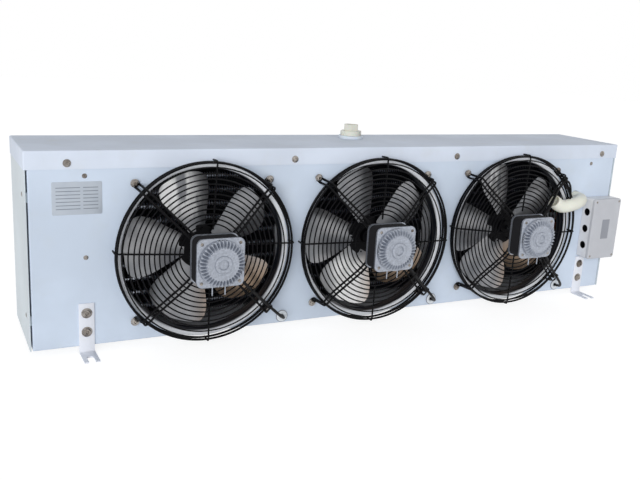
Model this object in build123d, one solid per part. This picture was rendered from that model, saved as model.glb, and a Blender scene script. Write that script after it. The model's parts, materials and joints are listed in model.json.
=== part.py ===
from build123d import *
import os
from math import atan2, cos, pi, radians, sin, sqrt, tan

# Walk-in unit cooler with three fans, standing upside down on its four hanger feet, so that the
# drain pan is on top. Millimetres. X runs along the casing, Y from the fans to the air inlet behind
# the coil, Z up. The origin is on the floor plane, in the middle of the space the cooler takes up.

os.makedirs("parts", exist_ok=True)

# ---- driving dimensions -----------------------------------------------------------------------
PAN_LENGTH = 1572.0        # drain pan over its end walls
CASE_DEPTH = 232.0         # front panel face to the rear wall of the drain pan
CASE_HEIGHT = 412.0        # lower edge of the front panel to the face of the drain pan
PAN_WALL = 37.5            # height of the drain pan's walls
SHEET = 1.2                # casing sheet
SEAT = 0.3                 # gap between pieces that bear on each other
FOOT_DROP = 15.0           # hanger feet stand this far beyond the lower edge of the casing
HEM = 2.4                  # folded front edge of an end panel
HEM_DEPTH = 12.0
SHADOW_GAP = 3.0           # open joint between the front panel and an end panel
FRONT_FOLD = 56.0          # depth of the front panel's folded edges
BEND = 3.0                 # outside radius of the folds
INSULATION = 8.0           # foam sheet inside the drain pan

FAN_COUNT = 3
FAN_PITCH = 422.0
FAN_HEIGHT = 193.6         # fan centre above the lower edge of the front panel
ORIFICE_R = 178.0          # throat of the inlet ring
MOUTH_R = 190.0            # free edge of the flared mouth
MOUTH_REACH = 22.0         # mouth in front of the panel
RING_FLATS = 16            # flats round an inlet ring
RING_FLANGE = 8.0          # flange of an inlet ring, behind the front panel

GUARD_SCREW_HALF = 150.0   # guard screws stand on a square of twice this
WIRE_RING = 3.0            # ring wire
WIRE_RIM = 4.0             # rim wire
WIRE_ARM = 5.0             # arm wire
RIM_R = 201.0
INNER_RIM_R = 191.8
ARM_RISE_R = 196.3         # arms rise between the two rim rings
OUTER_RING_R = 183.0
RING_PITCH = 11.1
RING_COUNT = 11            # rings inside the outer ring
FIRST_RING_R = 58.5
GUARD_PLANE = 33.0         # rear of the front rings, in front of the panel
RING_FACETS = 0.46         # flats of a ring over twice the root of its radius
ARM_GAP = 5.5              # between the two wires of an arm
SCREW_SHANK_R = 2.4
GUARD_SCREW_HEAD_R = 9.0

MOTOR_SIDE = 104.0         # square end caps
STATOR_SIDE = 100.0
MOTOR_CORNER = 14.0
MOTOR_REACH = 136.0        # front boss of the motor, in front of the panel
REAR_FLANGE = 5.0
STATOR_LENGTH = 35.0
FRONT_FLANGE = 6.0
DOME_HEIGHT = 11.0
BOSS_HEIGHT = 7.0
DOME_FOOT_R = 47.0
DOME_TOP_R = 33.0
BOSS_R = 18.0
RIB_COUNT = 16
REAR_CONE = 26.0           # rear cap behind its flange
REAR_CONE_R = 42.0
REAR_NOSE_R = 30.0
MOTOR_SCREW_HALF = 41.5
ARM_EYE = 8.5              # closed end of an arm past its screw
SHAFT_R = 6.0
SHAFT_PLAY = 0.05          # running clearance of the shaft in its bearings, on the radius

BLADE_COUNT = 5
BLADE_TIP_R = 172.0
BLADE_ROOT_R = 36.0
BLADE_CHORD = 144.0
BLADE_CAMBER = 13.0
BLADE_PITCH = 20.0         # degrees
BLADE_SWEEP = 16.0         # middle of a blade ahead of its radius
BLADE_REST = 27.0          # degrees, first blade at rest
BLADE_SHEET = 2.0
BLADE_FLATS = 3            # flats across a cambered blade
HUB_R = 50.0
HUB_BOSS_R = 18.0
HUB_DISC = 4.0
HUB_LENGTH = 34.0
HUB_SET_BACK = 2.0         # front of the hub boss behind the panel face
BLADE_PLANE = 21.5         # middle of the blades behind the panel face

COIL_HALF = 650.0          # middle of the coil to a tube sheet
COIL_FRONT = 92.0          # tube sheets behind the panel face
COIL_DEPTH = 116.0
COIL_BOTTOM = 16.0         # tube sheets above the lower edge of the front panel
COIL_HEIGHT = 376.0
TUBE_SHEET = 2.0
FIN_EDGE = 3.0             # tube sheets stand past the fins by this
FIN_GROOVES = 14
TUBE_PITCH = 33.0
TUBE_LAYERS = 11
ROW_PITCH = 28.5
TUBE_R = 8.0
BEND_REACH = 30.0

HANGER_XS = (-672.0, 700.0)
HANGER_WIDTH = 32.0
HANGER_SHEET = 3.0
HANGER_TOP = 94.0          # top of the strap above the lower edge of the front panel
HANGER_REACH = 60.0        # foot in front of the casing
HANGER_SLOT_R = 7.0
HANGER_SLOT_DEPTH = 22.0   # slot centre to the free end of the foot
HANGER_BOLTS = (32.0, 73.0)  # above the lower edge of the front panel
HANGER_BOLT_HEAD_R = 11.0
HANGER_HOLE_R = 4.6

BOX_WIDTH = 99.0
BOX_HEIGHT = 170.0
BOX_DEPTH = 44.0
BOX_BOTTOM = 97.0          # above the lower edge of the front panel
BOX_WALL = 2.5
BOX_LID = 9.0
BOX_CORNER = 7.0
ENTRY_R = 10.5             # cable entries
ENTRY_FORWARD = 18.5       # entry centres in front of the panel
ENTRY_HEIGHTS = (133.5, 180.5, 227.5)

LEAD_R = 4.0
GROMMET_X = 196.0          # from the fan centre
GROMMET_HEIGHT = 17.0      # above the lower edge of the front panel
GROMMET_R = 15.0
GROMMET_HOLE_R = 10.0
SLEEVE_R = 18.0
SLEEVE_X = 650.0
SLEEVE_HEIGHT = 267.0
SLEEVE_LEAD_R = 3.0
TIE = 1.2                  # cable tie strap
TIE_WIDTH = 4.0

DRAIN_X = 18.0
DRAIN_BACK = 160.0         # drain behind the panel face
DRAIN_TAIL_R = 15.0
DRAIN_BORE_R = 12.0
DRAIN_FLANGE_R = 26.0
DRAIN_WASHER_R = 30.5
DRAIN_WASHER = 7.6
DRAIN_NUT_R = 27.5
DRAIN_NUT = 12.0
DRAIN_RISE = 35.0          # whole fitting above the pan
DRAIN_HEX = 35.0           # across flats

SUCTION_R = 14.0
LIQUID_R = 8.0
SUCTION_STUB_R = 11.1
LIQUID_STUB_R = 6.35
SUCTION_X = 712.0          # pipes in the right end compartment
LIQUID_X = 686.0
SUCTION_STUB_HEIGHT = 150.0
LIQUID_STUB_HEIGHT = 230.0
STUB_REACH = 45.0          # stubs behind the casing
SWAGE = 1.0                # pipe inside the casing over its stub, on the radius

PAN_SCREW_XS = (-704.6, -210.8, 234.9, 729.0)
PAN_SCREW_DROP = 25.0      # below the face of the drain pan
PANEL_SCREWS = ((-671.0, 360.7), (-671.0, 191.8), (695.0, 360.0))
END_SCREW_HEIGHTS = (65.0, 319.0)
END_SCREW_BACK = 45.0      # behind the panel face
PLATE_WIDTH = 98.0         # nameplate
PLATE_HEIGHT = 67.0
PLATE_X = -686.0
PLATE_MID = 316.0          # above the lower edge of the front panel

# ---- derived places ---------------------------------------------------------------------------
FRONT_Y = -(CASE_DEPTH - SHEET - SEAT + HANGER_REACH - MOTOR_REACH) / 2   # front panel's face
REAR_Y = FRONT_Y + CASE_DEPTH
BASE_Z = FOOT_DROP                                         # lower edge of the casing
TOP_Z = BASE_Z + CASE_HEIGHT
LIP_Z = TOP_Z - PAN_WALL
END_X = PAN_LENGTH / 2 - SHEET - SEAT                      # outer face of an end panel
FRONT_HALF = END_X - HEM - SHADOW_GAP
PANEL_TOP = TOP_Z - SHEET - INSULATION - SEAT
CASE_REAR = REAR_Y - SHEET - SEAT
FLOOR_TOP = BASE_Z + SHEET + SEAT + SHEET                  # upper face of the roof sheet
FAN_XS = [FAN_PITCH * (i - (FAN_COUNT - 1) / 2) for i in range(FAN_COUNT)]
FAN_Z = BASE_Z + FAN_HEIGHT
REAR_FLANGE_AT = (MOTOR_REACH - BOSS_HEIGHT - DOME_HEIGHT - FRONT_FLANGE - STATOR_LENGTH
                  - REAR_FLANGE)
ARM_REST = REAR_FLANGE_AT - SEAT - WIRE_ARM / 2            # arm wire's centre under the motor
MOTOR_SCREW_R = MOTOR_SCREW_HALF * sqrt(2)
GUARD_SCREW_R = GUARD_SCREW_HALF * sqrt(2)
BOX_X = END_X - BOX_WIDTH / 2
BOX_Z = BASE_Z + BOX_BOTTOM + BOX_HEIGHT / 2
LAYERS = [BASE_Z + COIL_BOTTOM + COIL_HEIGHT / 2 + TUBE_PITCH * (i - (TUBE_LAYERS - 1) / 2)
          for i in range(TUBE_LAYERS)]
ROWS = [FRONT_Y + COIL_FRONT + COIL_DEPTH / 2 + ROW_PITCH * (i - 1.5) for i in range(4)]
ARM_LEVEL = GUARD_PLANE + WIRE_RING + WIRE_ARM / 2         # arm wire's centre over the rings


# ---- helpers ----------------------------------------------------------------------------------
def save(name, *solids):
    """Write one sub-part, made of one or more separate solids."""
    shape = solids[0] if len(solids) == 1 else Compound(children=list(solids))
    export_step(shape, f"parts/{name}.step")


def block(x0, x1, y0, y1, z0, z1):
    """Box between two corners."""
    return Pos((x0 + x1) / 2, (y0 + y1) / 2, (z0 + z1) / 2) * Box(x1 - x0, y1 - y0, z1 - z0)


def facing(x, z, forward=0.0):
    """Frame on the front panel: its X is the casing's X, its Y is up, its Z points forward."""
    return Plane(origin=(x, FRONT_Y - forward, z), x_dir=(1, 0, 0), z_dir=(0, -1, 0))


def disc(radius, start, end):
    """Cylinder about local Z from one height to another."""
    return Pos(0, 0, (start + end) / 2) * Cylinder(radius, end - start)


def prism(radius, sides, start, end):
    """Regular prism about local Z, its corners on the radius."""
    return Pos(0, 0, start) * extrude(RegularPolygon(radius, sides), end - start)


def frustum(low_r, high_r, sides, start, end):
    """Regular frustum about local Z."""
    low = Pos(0, 0, start) * RegularPolygon(low_r, sides)
    high = Pos(0, 0, end) * RegularPolygon(high_r, sides)
    return loft([low.face(), high.face()], ruled=True)


def soft_rectangle(width, height, corner, facets=2):
    """Rectangle whose corners are rounded by a few flats."""
    points = []
    for quarter in range(4):
        across = 1 if quarter in (0, 3) else -1
        up = 1 if quarter in (0, 1) else -1
        for step in range(facets + 1):
            angle = pi / 2 * (quarter + step / facets)
            points.append((across * (width / 2 - corner) + corner * cos(angle),
                           up * (height / 2 - corner) + corner * sin(angle)))
    return make_face(Polyline(*points, close=True))


def strip(points, thickness, width):
    """Bent bar: a centre line in a plane, given a thickness, then a width about that plane."""
    count = len(points)
    sides = []
    for sign in (1, -1):
        edge = []
        for i, (a, b) in enumerate(points):
            before = points[max(i - 1, 0)]
            after = points[min(i + 1, count - 1)]
            turn_in = atan2(b - before[1], a - before[0]) if i else None
            turn_out = atan2(after[1] - b, after[0] - a) if i < count - 1 else None
            first = turn_out if turn_in is None else turn_in
            last = turn_in if turn_out is None else turn_out
            middle = atan2(sin(first) + sin(last), cos(first) + cos(last))
            half = thickness / 2 / cos((last - first) / 2)
            edge.append((a - sign * half * sin(middle), b + sign * half * cos(middle)))
        sides.append(edge)
    outline = Polyline(*(sides[0] + sides[1][::-1]), close=True)
    return extrude(make_face(outline), width / 2, both=True)


def cord(points, radius, name, sides=6):
    """Cable of a few flats on straight runs joined by arcs as large as the runs allow."""
    route = [Vector(*p) for p in points]
    radii = []
    for before, here, after in zip(route, route[1:], route[2:]):
        turn = radians((here - before).get_angle(after - here))
        run = min((here - before).length, (after - here).length)
        radii.append(0.45 * run / tan(turn / 2))
    path = FilletPolyline(*route, radius=radii)
    start = Plane(origin=path @ 0, z_dir=path % 0)
    tube = sweep(start * RegularPolygon(radius, sides), path=path)
    length = path.length
    area = sides / 2 * sin(2 * pi / sides) * radius ** 2
    print(name, "radii", [round(r) for r in radii], "length", round(length),
          "volume ratio", round(tube.volume / (area * length), 3))
    return tube


# ---- casing -----------------------------------------------------------------------------------
def inlet_ring():
    """Spun ring with a flange behind the front panel and a flared mouth, about local Z."""
    low, waist, high = -2 * SHEET - SEAT, 12.0, MOUTH_REACH
    radii = (ORIFICE_R, ORIFICE_R + 3.0, MOUTH_R)
    outer = (frustum(radii[0] + SHEET, radii[1] + SHEET, RING_FLATS, low, waist)
             + frustum(radii[1] + SHEET, radii[2] + SHEET, RING_FLATS, waist, high))
    flange = prism(ORIFICE_R + RING_FLANGE, RING_FLATS, low, low + SHEET)
    inner = (frustum(radii[0], radii[1], RING_FLATS, low, waist)
             + frustum(radii[1], radii[2], RING_FLATS, waist, high))
    return outer + flange - inner


def front_panel():
    """Folded panel with three fan openings and its screw and cable holes."""
    panel = block(-FRONT_HALF, FRONT_HALF, FRONT_Y, FRONT_Y + FRONT_FOLD, BASE_Z, PANEL_TOP)
    front = panel.faces().sort_by(Axis.Y)[0]
    panel = chamfer(front.edges(), BEND / 2)
    panel = offset(panel, amount=-SHEET, openings=panel.faces().sort_by(Axis.Y)[-1])
    for x in FAN_XS:
        centre = facing(x, FAN_Z)
        panel -= centre * prism(ORIFICE_R + SHEET + 3 * SEAT, RING_FLATS, -2 * SHEET, SHEET)
        grommet = facing(x + GROMMET_X, BASE_Z + GROMMET_HEIGHT)
        panel -= grommet * prism(GROMMET_HOLE_R, 8, -2 * SHEET, SHEET)
        for place in corner_places(GUARD_SCREW_HALF):
            panel -= centre * place * prism(SCREW_SHANK_R * 1.6, 4, -2 * SHEET, SHEET)
    sleeve = facing(SLEEVE_X, BASE_Z + SLEEVE_HEIGHT)
    panel -= sleeve * prism(SLEEVE_R + 0.9, 12, -2 * SHEET, SHEET)
    return bolt_holes(panel, HANGER_XS, False)


def end_panel(side):
    """End panel with a hemmed front edge and a rear fold that covers the end compartment."""
    outer = side * END_X
    inner = side * (END_X - SHEET)
    low, high = BASE_Z + SEAT, TOP_Z - SHEET - INSULATION - SEAT
    plate = block(*sorted((outer, inner)), FRONT_Y, CASE_REAR, low, high)
    hem = block(*sorted((outer, side * (END_X - HEM))), FRONT_Y, FRONT_Y + HEM_DEPTH, low,
                LIP_Z - SEAT)
    cover = block(*sorted((outer, side * COIL_HALF)), CASE_REAR - SHEET, CASE_REAR, low, high)
    panel = plate + hem + cover
    for height in END_SCREW_HEIGHTS:
        z = BASE_Z + height
        panel += block(*sorted((side * (END_X - SHEET / 2), side * (FRONT_HALF + SEAT))),
                       FRONT_Y + BEND + 1.0, FRONT_Y + FRONT_FOLD - 4.0, z - 10.0, z + 10.0)
    panel = bolt_holes(panel, [x for x in HANGER_XS if x * side > 0], True)
    if side > 0:
        for x, height, radius in ((SUCTION_X, SUCTION_STUB_HEIGHT, SUCTION_STUB_R),
                                  (LIQUID_X, LIQUID_STUB_HEIGHT, LIQUID_STUB_R)):
            hole = Pos(x, CASE_REAR, BASE_Z + height) * Rot(90, 0, 0)
            panel -= hole * prism(radius + SWAGE + 1.0, 10, -2 * SHEET, 2 * SHEET)
    return panel


def roof_sheet():
    """Sheet on the ceiling side of the cooler, with an upturned rear edge between the end panels."""
    front_half = FRONT_HALF - SHEET - SEAT
    rear_half = END_X - SHEET - SEAT
    z = BASE_Z + SHEET + SEAT
    step = FRONT_Y + FRONT_FOLD + SEAT
    sheet = block(-front_half, front_half, FRONT_Y + BEND + 1.0, step, z, z + SHEET)
    sheet += block(-rear_half, rear_half, step, CASE_REAR - SHEET - SEAT, z, z + SHEET)
    upturn = block(-COIL_HALF + SEAT, COIL_HALF - SEAT, CASE_REAR - 2 * SHEET - SEAT,
                   CASE_REAR - SHEET - SEAT, z, z + 24.0)
    return sheet + upturn


def drain_pan():
    """Tray that closes the top of the cooler as it stands, with rounded corners and a drain hole."""
    half = PAN_LENGTH / 2
    lip_front = FRONT_Y - SHEET - SEAT
    pan = block(-half, half, lip_front, REAR_Y, LIP_Z, TOP_Z)
    pan = chamfer(pan.faces().sort_by(Axis.Z)[-1].edges(), BEND / 2)
    pan = offset(pan, amount=-SHEET, openings=pan.faces().sort_by(Axis.Z)[0])
    return pan - Pos(DRAIN_X, FRONT_Y + DRAIN_BACK, TOP_Z) * prism(DRAIN_TAIL_R + 0.6, 12, -4.0, 4.0)


def pan_insulation():
    """Foam sheet stuck inside the drain pan."""
    half = PAN_LENGTH / 2 - 2 * SHEET - 4.0
    sheet = block(-half, half, FRONT_Y + 4.0, REAR_Y - 2 * SHEET - 4.0,
                  TOP_Z - SHEET - INSULATION, TOP_Z - SHEET)
    return sheet - Pos(DRAIN_X, FRONT_Y + DRAIN_BACK, TOP_Z) * prism(DRAIN_WASHER_R, 12, -20.0, 0.0)


def fan_partition(x):
    """Sheet between two fan chambers, folded where it meets the front panel."""
    low, high = BASE_Z + BEND + SEAT, PANEL_TOP - BEND - SEAT
    wall = block(x - SHEET / 2, x + SHEET / 2, FRONT_Y + SHEET + SEAT, FRONT_Y + COIL_FRONT - SEAT,
                 low, high)
    flange = block(x, x + 14.0, FRONT_Y + SHEET + SEAT, FRONT_Y + 2 * SHEET + SEAT, low, high)
    return wall + flange


# ---- hangers and fasteners --------------------------------------------------------------------
def hanger_frame(x, rear):
    """Frame on a long side of the casing: its X points outward, its Y up."""
    toward = 1 if rear else -1
    y = CASE_REAR if rear else FRONT_Y
    return Plane(origin=(x, y, BASE_Z), x_dir=(0, toward, 0), z_dir=(toward, 0, 0))


def hanger(x, rear):
    """Strap bolted to the casing and bent out into a foot with an open slot."""
    wall = HANGER_SHEET
    level = -FOOT_DROP + wall / 2
    path = [(wall / 2, HANGER_TOP), (wall / 2, level + 4.0), (wall / 2 + 4.0, level),
            (HANGER_REACH, level)]
    bracket = strip(path, wall, HANGER_WIDTH)
    slot_at = HANGER_REACH - HANGER_SLOT_DEPTH
    bracket -= Pos(slot_at, level, 0) * Rot(90, 0, 0) * Cylinder(HANGER_SLOT_R, 4 * wall)
    bracket -= Pos(slot_at + HANGER_SLOT_DEPTH, level, 0) * Box(2 * HANGER_SLOT_DEPTH, 4 * wall,
                                                                2 * HANGER_SLOT_R)
    for height in HANGER_BOLTS:
        bracket -= Pos(0, height, 0) * Rot(0, 90, 0) * prism(HANGER_HOLE_R, 6, -wall, 2 * wall)
    return hanger_frame(x, rear) * bracket


def hanger_bolts():
    """Two domed bolts in each hanger."""
    bolts = []
    for x in HANGER_XS:
        for rear in (False, True):
            for height in HANGER_BOLTS:
                bolt = (frustum(HANGER_BOLT_HEAD_R, HANGER_BOLT_HEAD_R * 0.5, 8, 0, 6.5)
                        + prism(HANGER_HOLE_R - 0.8, 4, -HANGER_SHEET - SHEET - 4.0, 0))
                place = Pos(HANGER_SHEET, height, 0) * Rot(0, 90, 0)
                bolts.append(hanger_frame(x, rear) * place * bolt)
    return bolts


def bolt_holes(panel, xs, rear):
    """Cut the hanger bolts' holes in a panel."""
    for x in xs:
        for height in HANGER_BOLTS:
            hole = Pos(0, height, 0) * Rot(0, 90, 0) * prism(HANGER_HOLE_R, 6, -3 * SHEET, SHEET)
            panel -= hanger_frame(x, rear) * hole
    return panel


def small_screws(places, radius, height):
    """Dome-headed screws standing on the faces whose frames are given."""
    head = frustum(radius, radius * 0.5, 6, SEAT, height)
    return [place * head for place in places]


# ---- fans -------------------------------------------------------------------------------------
def guard():
    """Wire guard: flat rings on four spokes, two rim rings, and four double-wire arms that run
    from the panel over the rings and up to the rear flange of the motor. About local Z."""
    wires = []
    radii = [FIRST_RING_R + RING_PITCH * k for k in range(RING_COUNT)] + [OUTER_RING_R]
    rings = [(r, GUARD_PLANE, WIRE_RING) for r in radii]
    rings += [(RIM_R, GUARD_PLANE - WIRE_ARM + 1.0 - WIRE_RIM, WIRE_RIM),
              (INNER_RIM_R, GUARD_PLANE - WIRE_ARM + 1.0 - WIRE_RING, WIRE_RING)]
    for radius, start, wire in rings:
        sides = 2 * round(sqrt(radius) * RING_FACETS)
        band = RegularPolygon(radius + wire / 2, sides) - RegularPolygon(radius - wire / 2, sides)
        wires.append(Pos(0, 0, start) * extrude(band, wire))
    spoke_wire = WIRE_ARM - 1.0
    spoke = block(FIRST_RING_R - 5.0, RIM_R + 5.0, -spoke_wire / 2, spoke_wire / 2,
                  GUARD_PLANE - spoke_wire, GUARD_PLANE)
    eye = SEAT + WIRE_ARM / 2
    path = [(GUARD_SCREW_R + ARM_EYE, eye), (ARM_RISE_R, eye), (ARM_RISE_R, ARM_LEVEL),
            (OUTER_RING_R - 18.0, ARM_LEVEL), (84.0, ARM_REST), (MOTOR_SCREW_R - ARM_EYE, ARM_REST)]
    arm = Rot(90, 0, 0) * strip(path, WIRE_ARM, ARM_GAP + 2 * WIRE_ARM)
    arm -= block(MOTOR_SCREW_R - ARM_EYE + WIRE_ARM, GUARD_SCREW_R + ARM_EYE - WIRE_ARM,
                 -ARM_GAP / 2, ARM_GAP / 2, -20.0, 120.0)
    for quarter in range(4):
        wires.append(Rot(0, 0, 90 * quarter) * spoke)
        wires.append(Rot(0, 0, 90 * quarter + 45) * arm)
    return wires


def corner_places(half):
    """The four corners of a square about local Z."""
    return [Pos(x, y, 0) for x in (-half, half) for y in (-half, half)]


def motor_stator():
    """Square stator between the two end caps."""
    start = REAR_FLANGE_AT + REAR_FLANGE
    body = soft_rectangle(STATOR_SIDE, STATOR_SIDE, MOTOR_CORNER)
    return Pos(0, 0, start) * extrude(body, STATOR_LENGTH)


def ribbed(radius, depth, height):
    """Outline of a round form with radial ribs, at a height on local Z."""
    points = []
    for i in range(2 * RIB_COUNT):
        angle = pi * i / RIB_COUNT
        reach = radius - depth * (i % 2)
        points.append((reach * cos(angle), reach * sin(angle)))
    return Pos(0, 0, height) * make_face(Polyline(*points, close=True))


def motor_front_cap():
    """Die-cast cap: square flange, ribbed dome and recessed centre boss."""
    start = REAR_FLANGE_AT + REAR_FLANGE + STATOR_LENGTH
    dome = start + FRONT_FLANGE
    top = dome + DOME_HEIGHT
    cap = Pos(0, 0, start) * extrude(soft_rectangle(MOTOR_SIDE, MOTOR_SIDE, MOTOR_CORNER),
                                     FRONT_FLANGE)
    cap += loft([ribbed(DOME_FOOT_R, 3.0, dome), ribbed(DOME_TOP_R, 2.0, top)], ruled=True)
    cap += prism(BOSS_R, 12, top, top + BOSS_HEIGHT)
    return cap - prism(BOSS_R * 0.55, 12, top + BOSS_HEIGHT / 2, top + 2 * BOSS_HEIGHT)


def motor_rear_cap():
    """Rear cap: square flange, tapered bearing housing and the shaft's bore."""
    cap = Pos(0, 0, REAR_FLANGE_AT) * extrude(
        soft_rectangle(MOTOR_SIDE, MOTOR_SIDE, MOTOR_CORNER), REAR_FLANGE)
    cap += frustum(REAR_NOSE_R, REAR_CONE_R, 16, REAR_FLANGE_AT - REAR_CONE, REAR_FLANGE_AT)
    for place in corner_places(MOTOR_SCREW_HALF):
        cap -= place * prism(SCREW_SHANK_R + 0.5, 4, REAR_FLANGE_AT - 1.0,
                             REAR_FLANGE_AT + REAR_FLANGE + 1.0)
    return cap - disc(SHAFT_R + SHAFT_PLAY, REAR_FLANGE_AT - 2 * REAR_CONE,
                      REAR_FLANGE_AT + REAR_FLANGE)


def motor_shaft():
    """Shaft from the motor's rear flange through the fan hub."""
    return prism(SHAFT_R, 12, -HUB_SET_BACK - HUB_LENGTH - 6.0, REAR_FLANGE_AT)


def fan_hub():
    """Hub boss with the disc that carries the blades."""
    front = -HUB_SET_BACK
    hub = prism(HUB_BOSS_R, 12, front - HUB_LENGTH, front)
    hub += Rot(0, 0, BLADE_REST) * prism(HUB_R, 15, -BLADE_PLANE - HUB_DISC / 2, -BLADE_PLANE + HUB_DISC / 2)
    return hub - prism(SHAFT_R + SHAFT_PLAY, 12, front - 2 * HUB_LENGTH, 1.0)


def fan_blades():
    """Cambered sheet blades with rounded tips, pitched about the hub's radius."""
    half = BLADE_CHORD / 2
    stations = [half * (2 * i / BLADE_FLATS - 1) for i in range(BLADE_FLATS + 1)]
    crown = [(y + BLADE_SWEEP, BLADE_CAMBER * (1 - (y / half) ** 2)) for y in stations]
    under = [(y, z - BLADE_SHEET) for y, z in reversed(crown)]
    section = make_face(Polyline(*crown, *under, close=True))
    sheet = Plane.YZ * extrude(section, BLADE_TIP_R + 10.0)
    sheet = Rot(BLADE_PITCH, 0, 0) * Pos(0, 0, -BLADE_CAMBER + BLADE_SHEET / 2) * sheet
    outline = [(BLADE_ROOT_R, -20.0), (70.0, -31.0), (118.0, -48.0), (146.0, -46.0),
               (164.0, -26.0), (BLADE_TIP_R - 1.0, 12.0), (160.0, 62.0), (144.0, 80.0),
               (110.0, 71.0), (64.0, 38.0), (BLADE_ROOT_R, 20.0)]
    cutter = extrude(make_face(Polyline(*outline, close=True)), 100.0, both=True)
    trimmed = sheet & cutter
    blade = Pos(0, 0, -BLADE_PLANE) * trimmed
    blade -= prism(HUB_R + 0.6, 15, -BLADE_PLANE - HUB_DISC / 2 - SEAT,
                   -BLADE_PLANE + HUB_DISC / 2 + SEAT)
    blade = blade.solids().sort_by(SortBy.VOLUME)[-1]
    return [Rot(0, 0, 360 / BLADE_COUNT * i + BLADE_REST) * blade for i in range(BLADE_COUNT)]


def guard_screws():
    """Domed screws that hold the arms' outer eyes to the front panel."""
    eye = SEAT + WIRE_ARM
    screw = (frustum(GUARD_SCREW_HEAD_R, GUARD_SCREW_HEAD_R * 0.5, 6, eye, eye + 5.5)
             + prism(SCREW_SHANK_R, 4, -6.0, eye))
    return [facing(x, FAN_Z) * place * screw
            for x in FAN_XS for place in corner_places(GUARD_SCREW_HALF)]


def motor_screws():
    """Screws from behind through the arms' inner eyes into the rear cap."""
    under = ARM_REST - WIRE_ARM / 2
    screw = (prism(6.5, 6, under - 4.0, under)
             + prism(SCREW_SHANK_R, 4, under, REAR_FLANGE_AT + REAR_FLANGE - 1.0))
    return [facing(x, FAN_Z) * place * screw
            for x in FAN_XS for place in corner_places(MOTOR_SCREW_HALF)]


# ---- wiring -----------------------------------------------------------------------------------
def along(angle, reach, aside, forward):
    """Point in a fan's frame, given along a direction, to its left and forward."""
    turn = radians(angle)
    return (reach * cos(turn) - aside * sin(turn), reach * sin(turn) + aside * cos(turn), forward)


def motor_leads():
    """Cable from each motor along its lower right arm and through the grommet."""
    foot = (GROMMET_X, GROMMET_HEIGHT - FAN_HEIGHT)
    route = [along(-45, 65.3, 5, 88), along(-45, 90, 5, 85), along(-45, 162, 6, 50),
             along(-45, 238, 10, 42), (*foot, 20.0), (*foot, -12.0)]
    lead = cord(route, LEAD_R, "motor lead", 4)
    return [facing(x, FAN_Z) * lead for x in FAN_XS]


def lead_grommets():
    """Flanged rubber grommets in the front panel's cable holes."""
    ring = (prism(GROMMET_R, 10, SEAT, 3.2) + prism(GROMMET_HOLE_R - 0.5, 8, -4.0, SEAT)
            - prism(LEAD_R + 1.0, 6, -6.0, 6.0))
    return [facing(x + GROMMET_X, BASE_Z + GROMMET_HEIGHT) * ring for x in FAN_XS]


def conduit_sleeve():
    """Short moulded sleeve that leaves the panel beside the junction box and turns to the fan."""
    route = [(SLEEVE_X, BASE_Z + SLEEVE_HEIGHT, -6), (SLEEVE_X, BASE_Z + SLEEVE_HEIGHT, 24),
             (622, 281, 48), (586, 276, 60), (546, 271, 60), (518.5, 288, 60)]
    return facing(0, 0) * cord(route, SLEEVE_R, "sleeve", 7)


def sleeve_lead():
    """Cable from the last motor along its upper right arm, over a tie and into the sleeve."""
    route = [along(45, 65.3, 4, 88), along(45, 90, 4, 84), along(45, 160, 4, 48.5),
             along(45, 192, 3, 46.5), (150, 138, 50), (160, 118, 54), (160, 90, 58)]
    return facing(FAN_XS[-1], FAN_Z) * cord(route, SLEEVE_LEAD_R, "sleeve lead", 4)


def tie(angle, reach, low, high, left, right):
    """Strap round an arm and the cable on it, in a fan's frame."""
    loop = (block(-TIE_WIDTH / 2, TIE_WIDTH / 2, -right - TIE, left + TIE, low - TIE, high + TIE)
            - block(-TIE_WIDTH, TIE_WIDTH, -right, left, low, high))
    return Pos(*along(angle, reach, 0, 0)) * Rot(0, 0, angle) * loop


def cable_ties():
    """Two ties on the cabled arm of each fan and one that holds the sleeve's cable."""
    half = ARM_GAP / 2 + WIRE_ARM + SEAT
    ties = [facing(x, FAN_Z) * tie(-45, *spot, half)
            for x in FAN_XS for spot in ((119, 51.6, 77.5, 11.0), (190, ARM_LEVEL - 3.0, 52.4, 11.8))]
    ties.append(facing(FAN_XS[-1], FAN_Z) * tie(45, 188, ARM_LEVEL - 3.0, 50.4, half, half))
    return ties


# ---- junction box -----------------------------------------------------------------------------
def junction_box():
    """Open box screwed to the front panel, with three cable entries in its left wall."""
    depth = BOX_DEPTH - BOX_LID - SEAT
    outer = extrude(soft_rectangle(BOX_WIDTH, BOX_HEIGHT, BOX_CORNER, 2), depth - SEAT)
    inner = extrude(soft_rectangle(BOX_WIDTH - 2 * BOX_WALL, BOX_HEIGHT - 2 * BOX_WALL,
                                   BOX_CORNER - BOX_WALL, 2), depth)
    box = Pos(0, 0, SEAT) * outer - Pos(0, 0, SEAT + BOX_WALL) * inner
    for height in ENTRY_HEIGHTS:
        up = BASE_Z + height - BOX_Z
        entry = Pos(-BOX_WIDTH / 2, up, ENTRY_FORWARD) * Rot(0, 90, 0)
        box -= entry * prism(ENTRY_R, 12, -2 * BOX_WALL, 2 * BOX_WALL)
    return facing(BOX_X, BOX_Z) * box


def junction_box_lid():
    """Lid with a bevelled edge."""
    foot = BOX_DEPTH - BOX_LID
    edge = BOX_DEPTH - 2.5
    lid = Pos(0, 0, foot) * extrude(soft_rectangle(BOX_WIDTH, BOX_HEIGHT, BOX_CORNER, 2),
                                    edge - foot)
    rim = Pos(0, 0, edge) * soft_rectangle(BOX_WIDTH, BOX_HEIGHT, BOX_CORNER, 2)
    top = Pos(0, 0, BOX_DEPTH) * soft_rectangle(BOX_WIDTH - 4.0, BOX_HEIGHT - 4.0, BOX_CORNER - 2.0,
                                                2)
    return facing(BOX_X, BOX_Z) * (lid + loft([rim, top], ruled=True))


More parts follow.
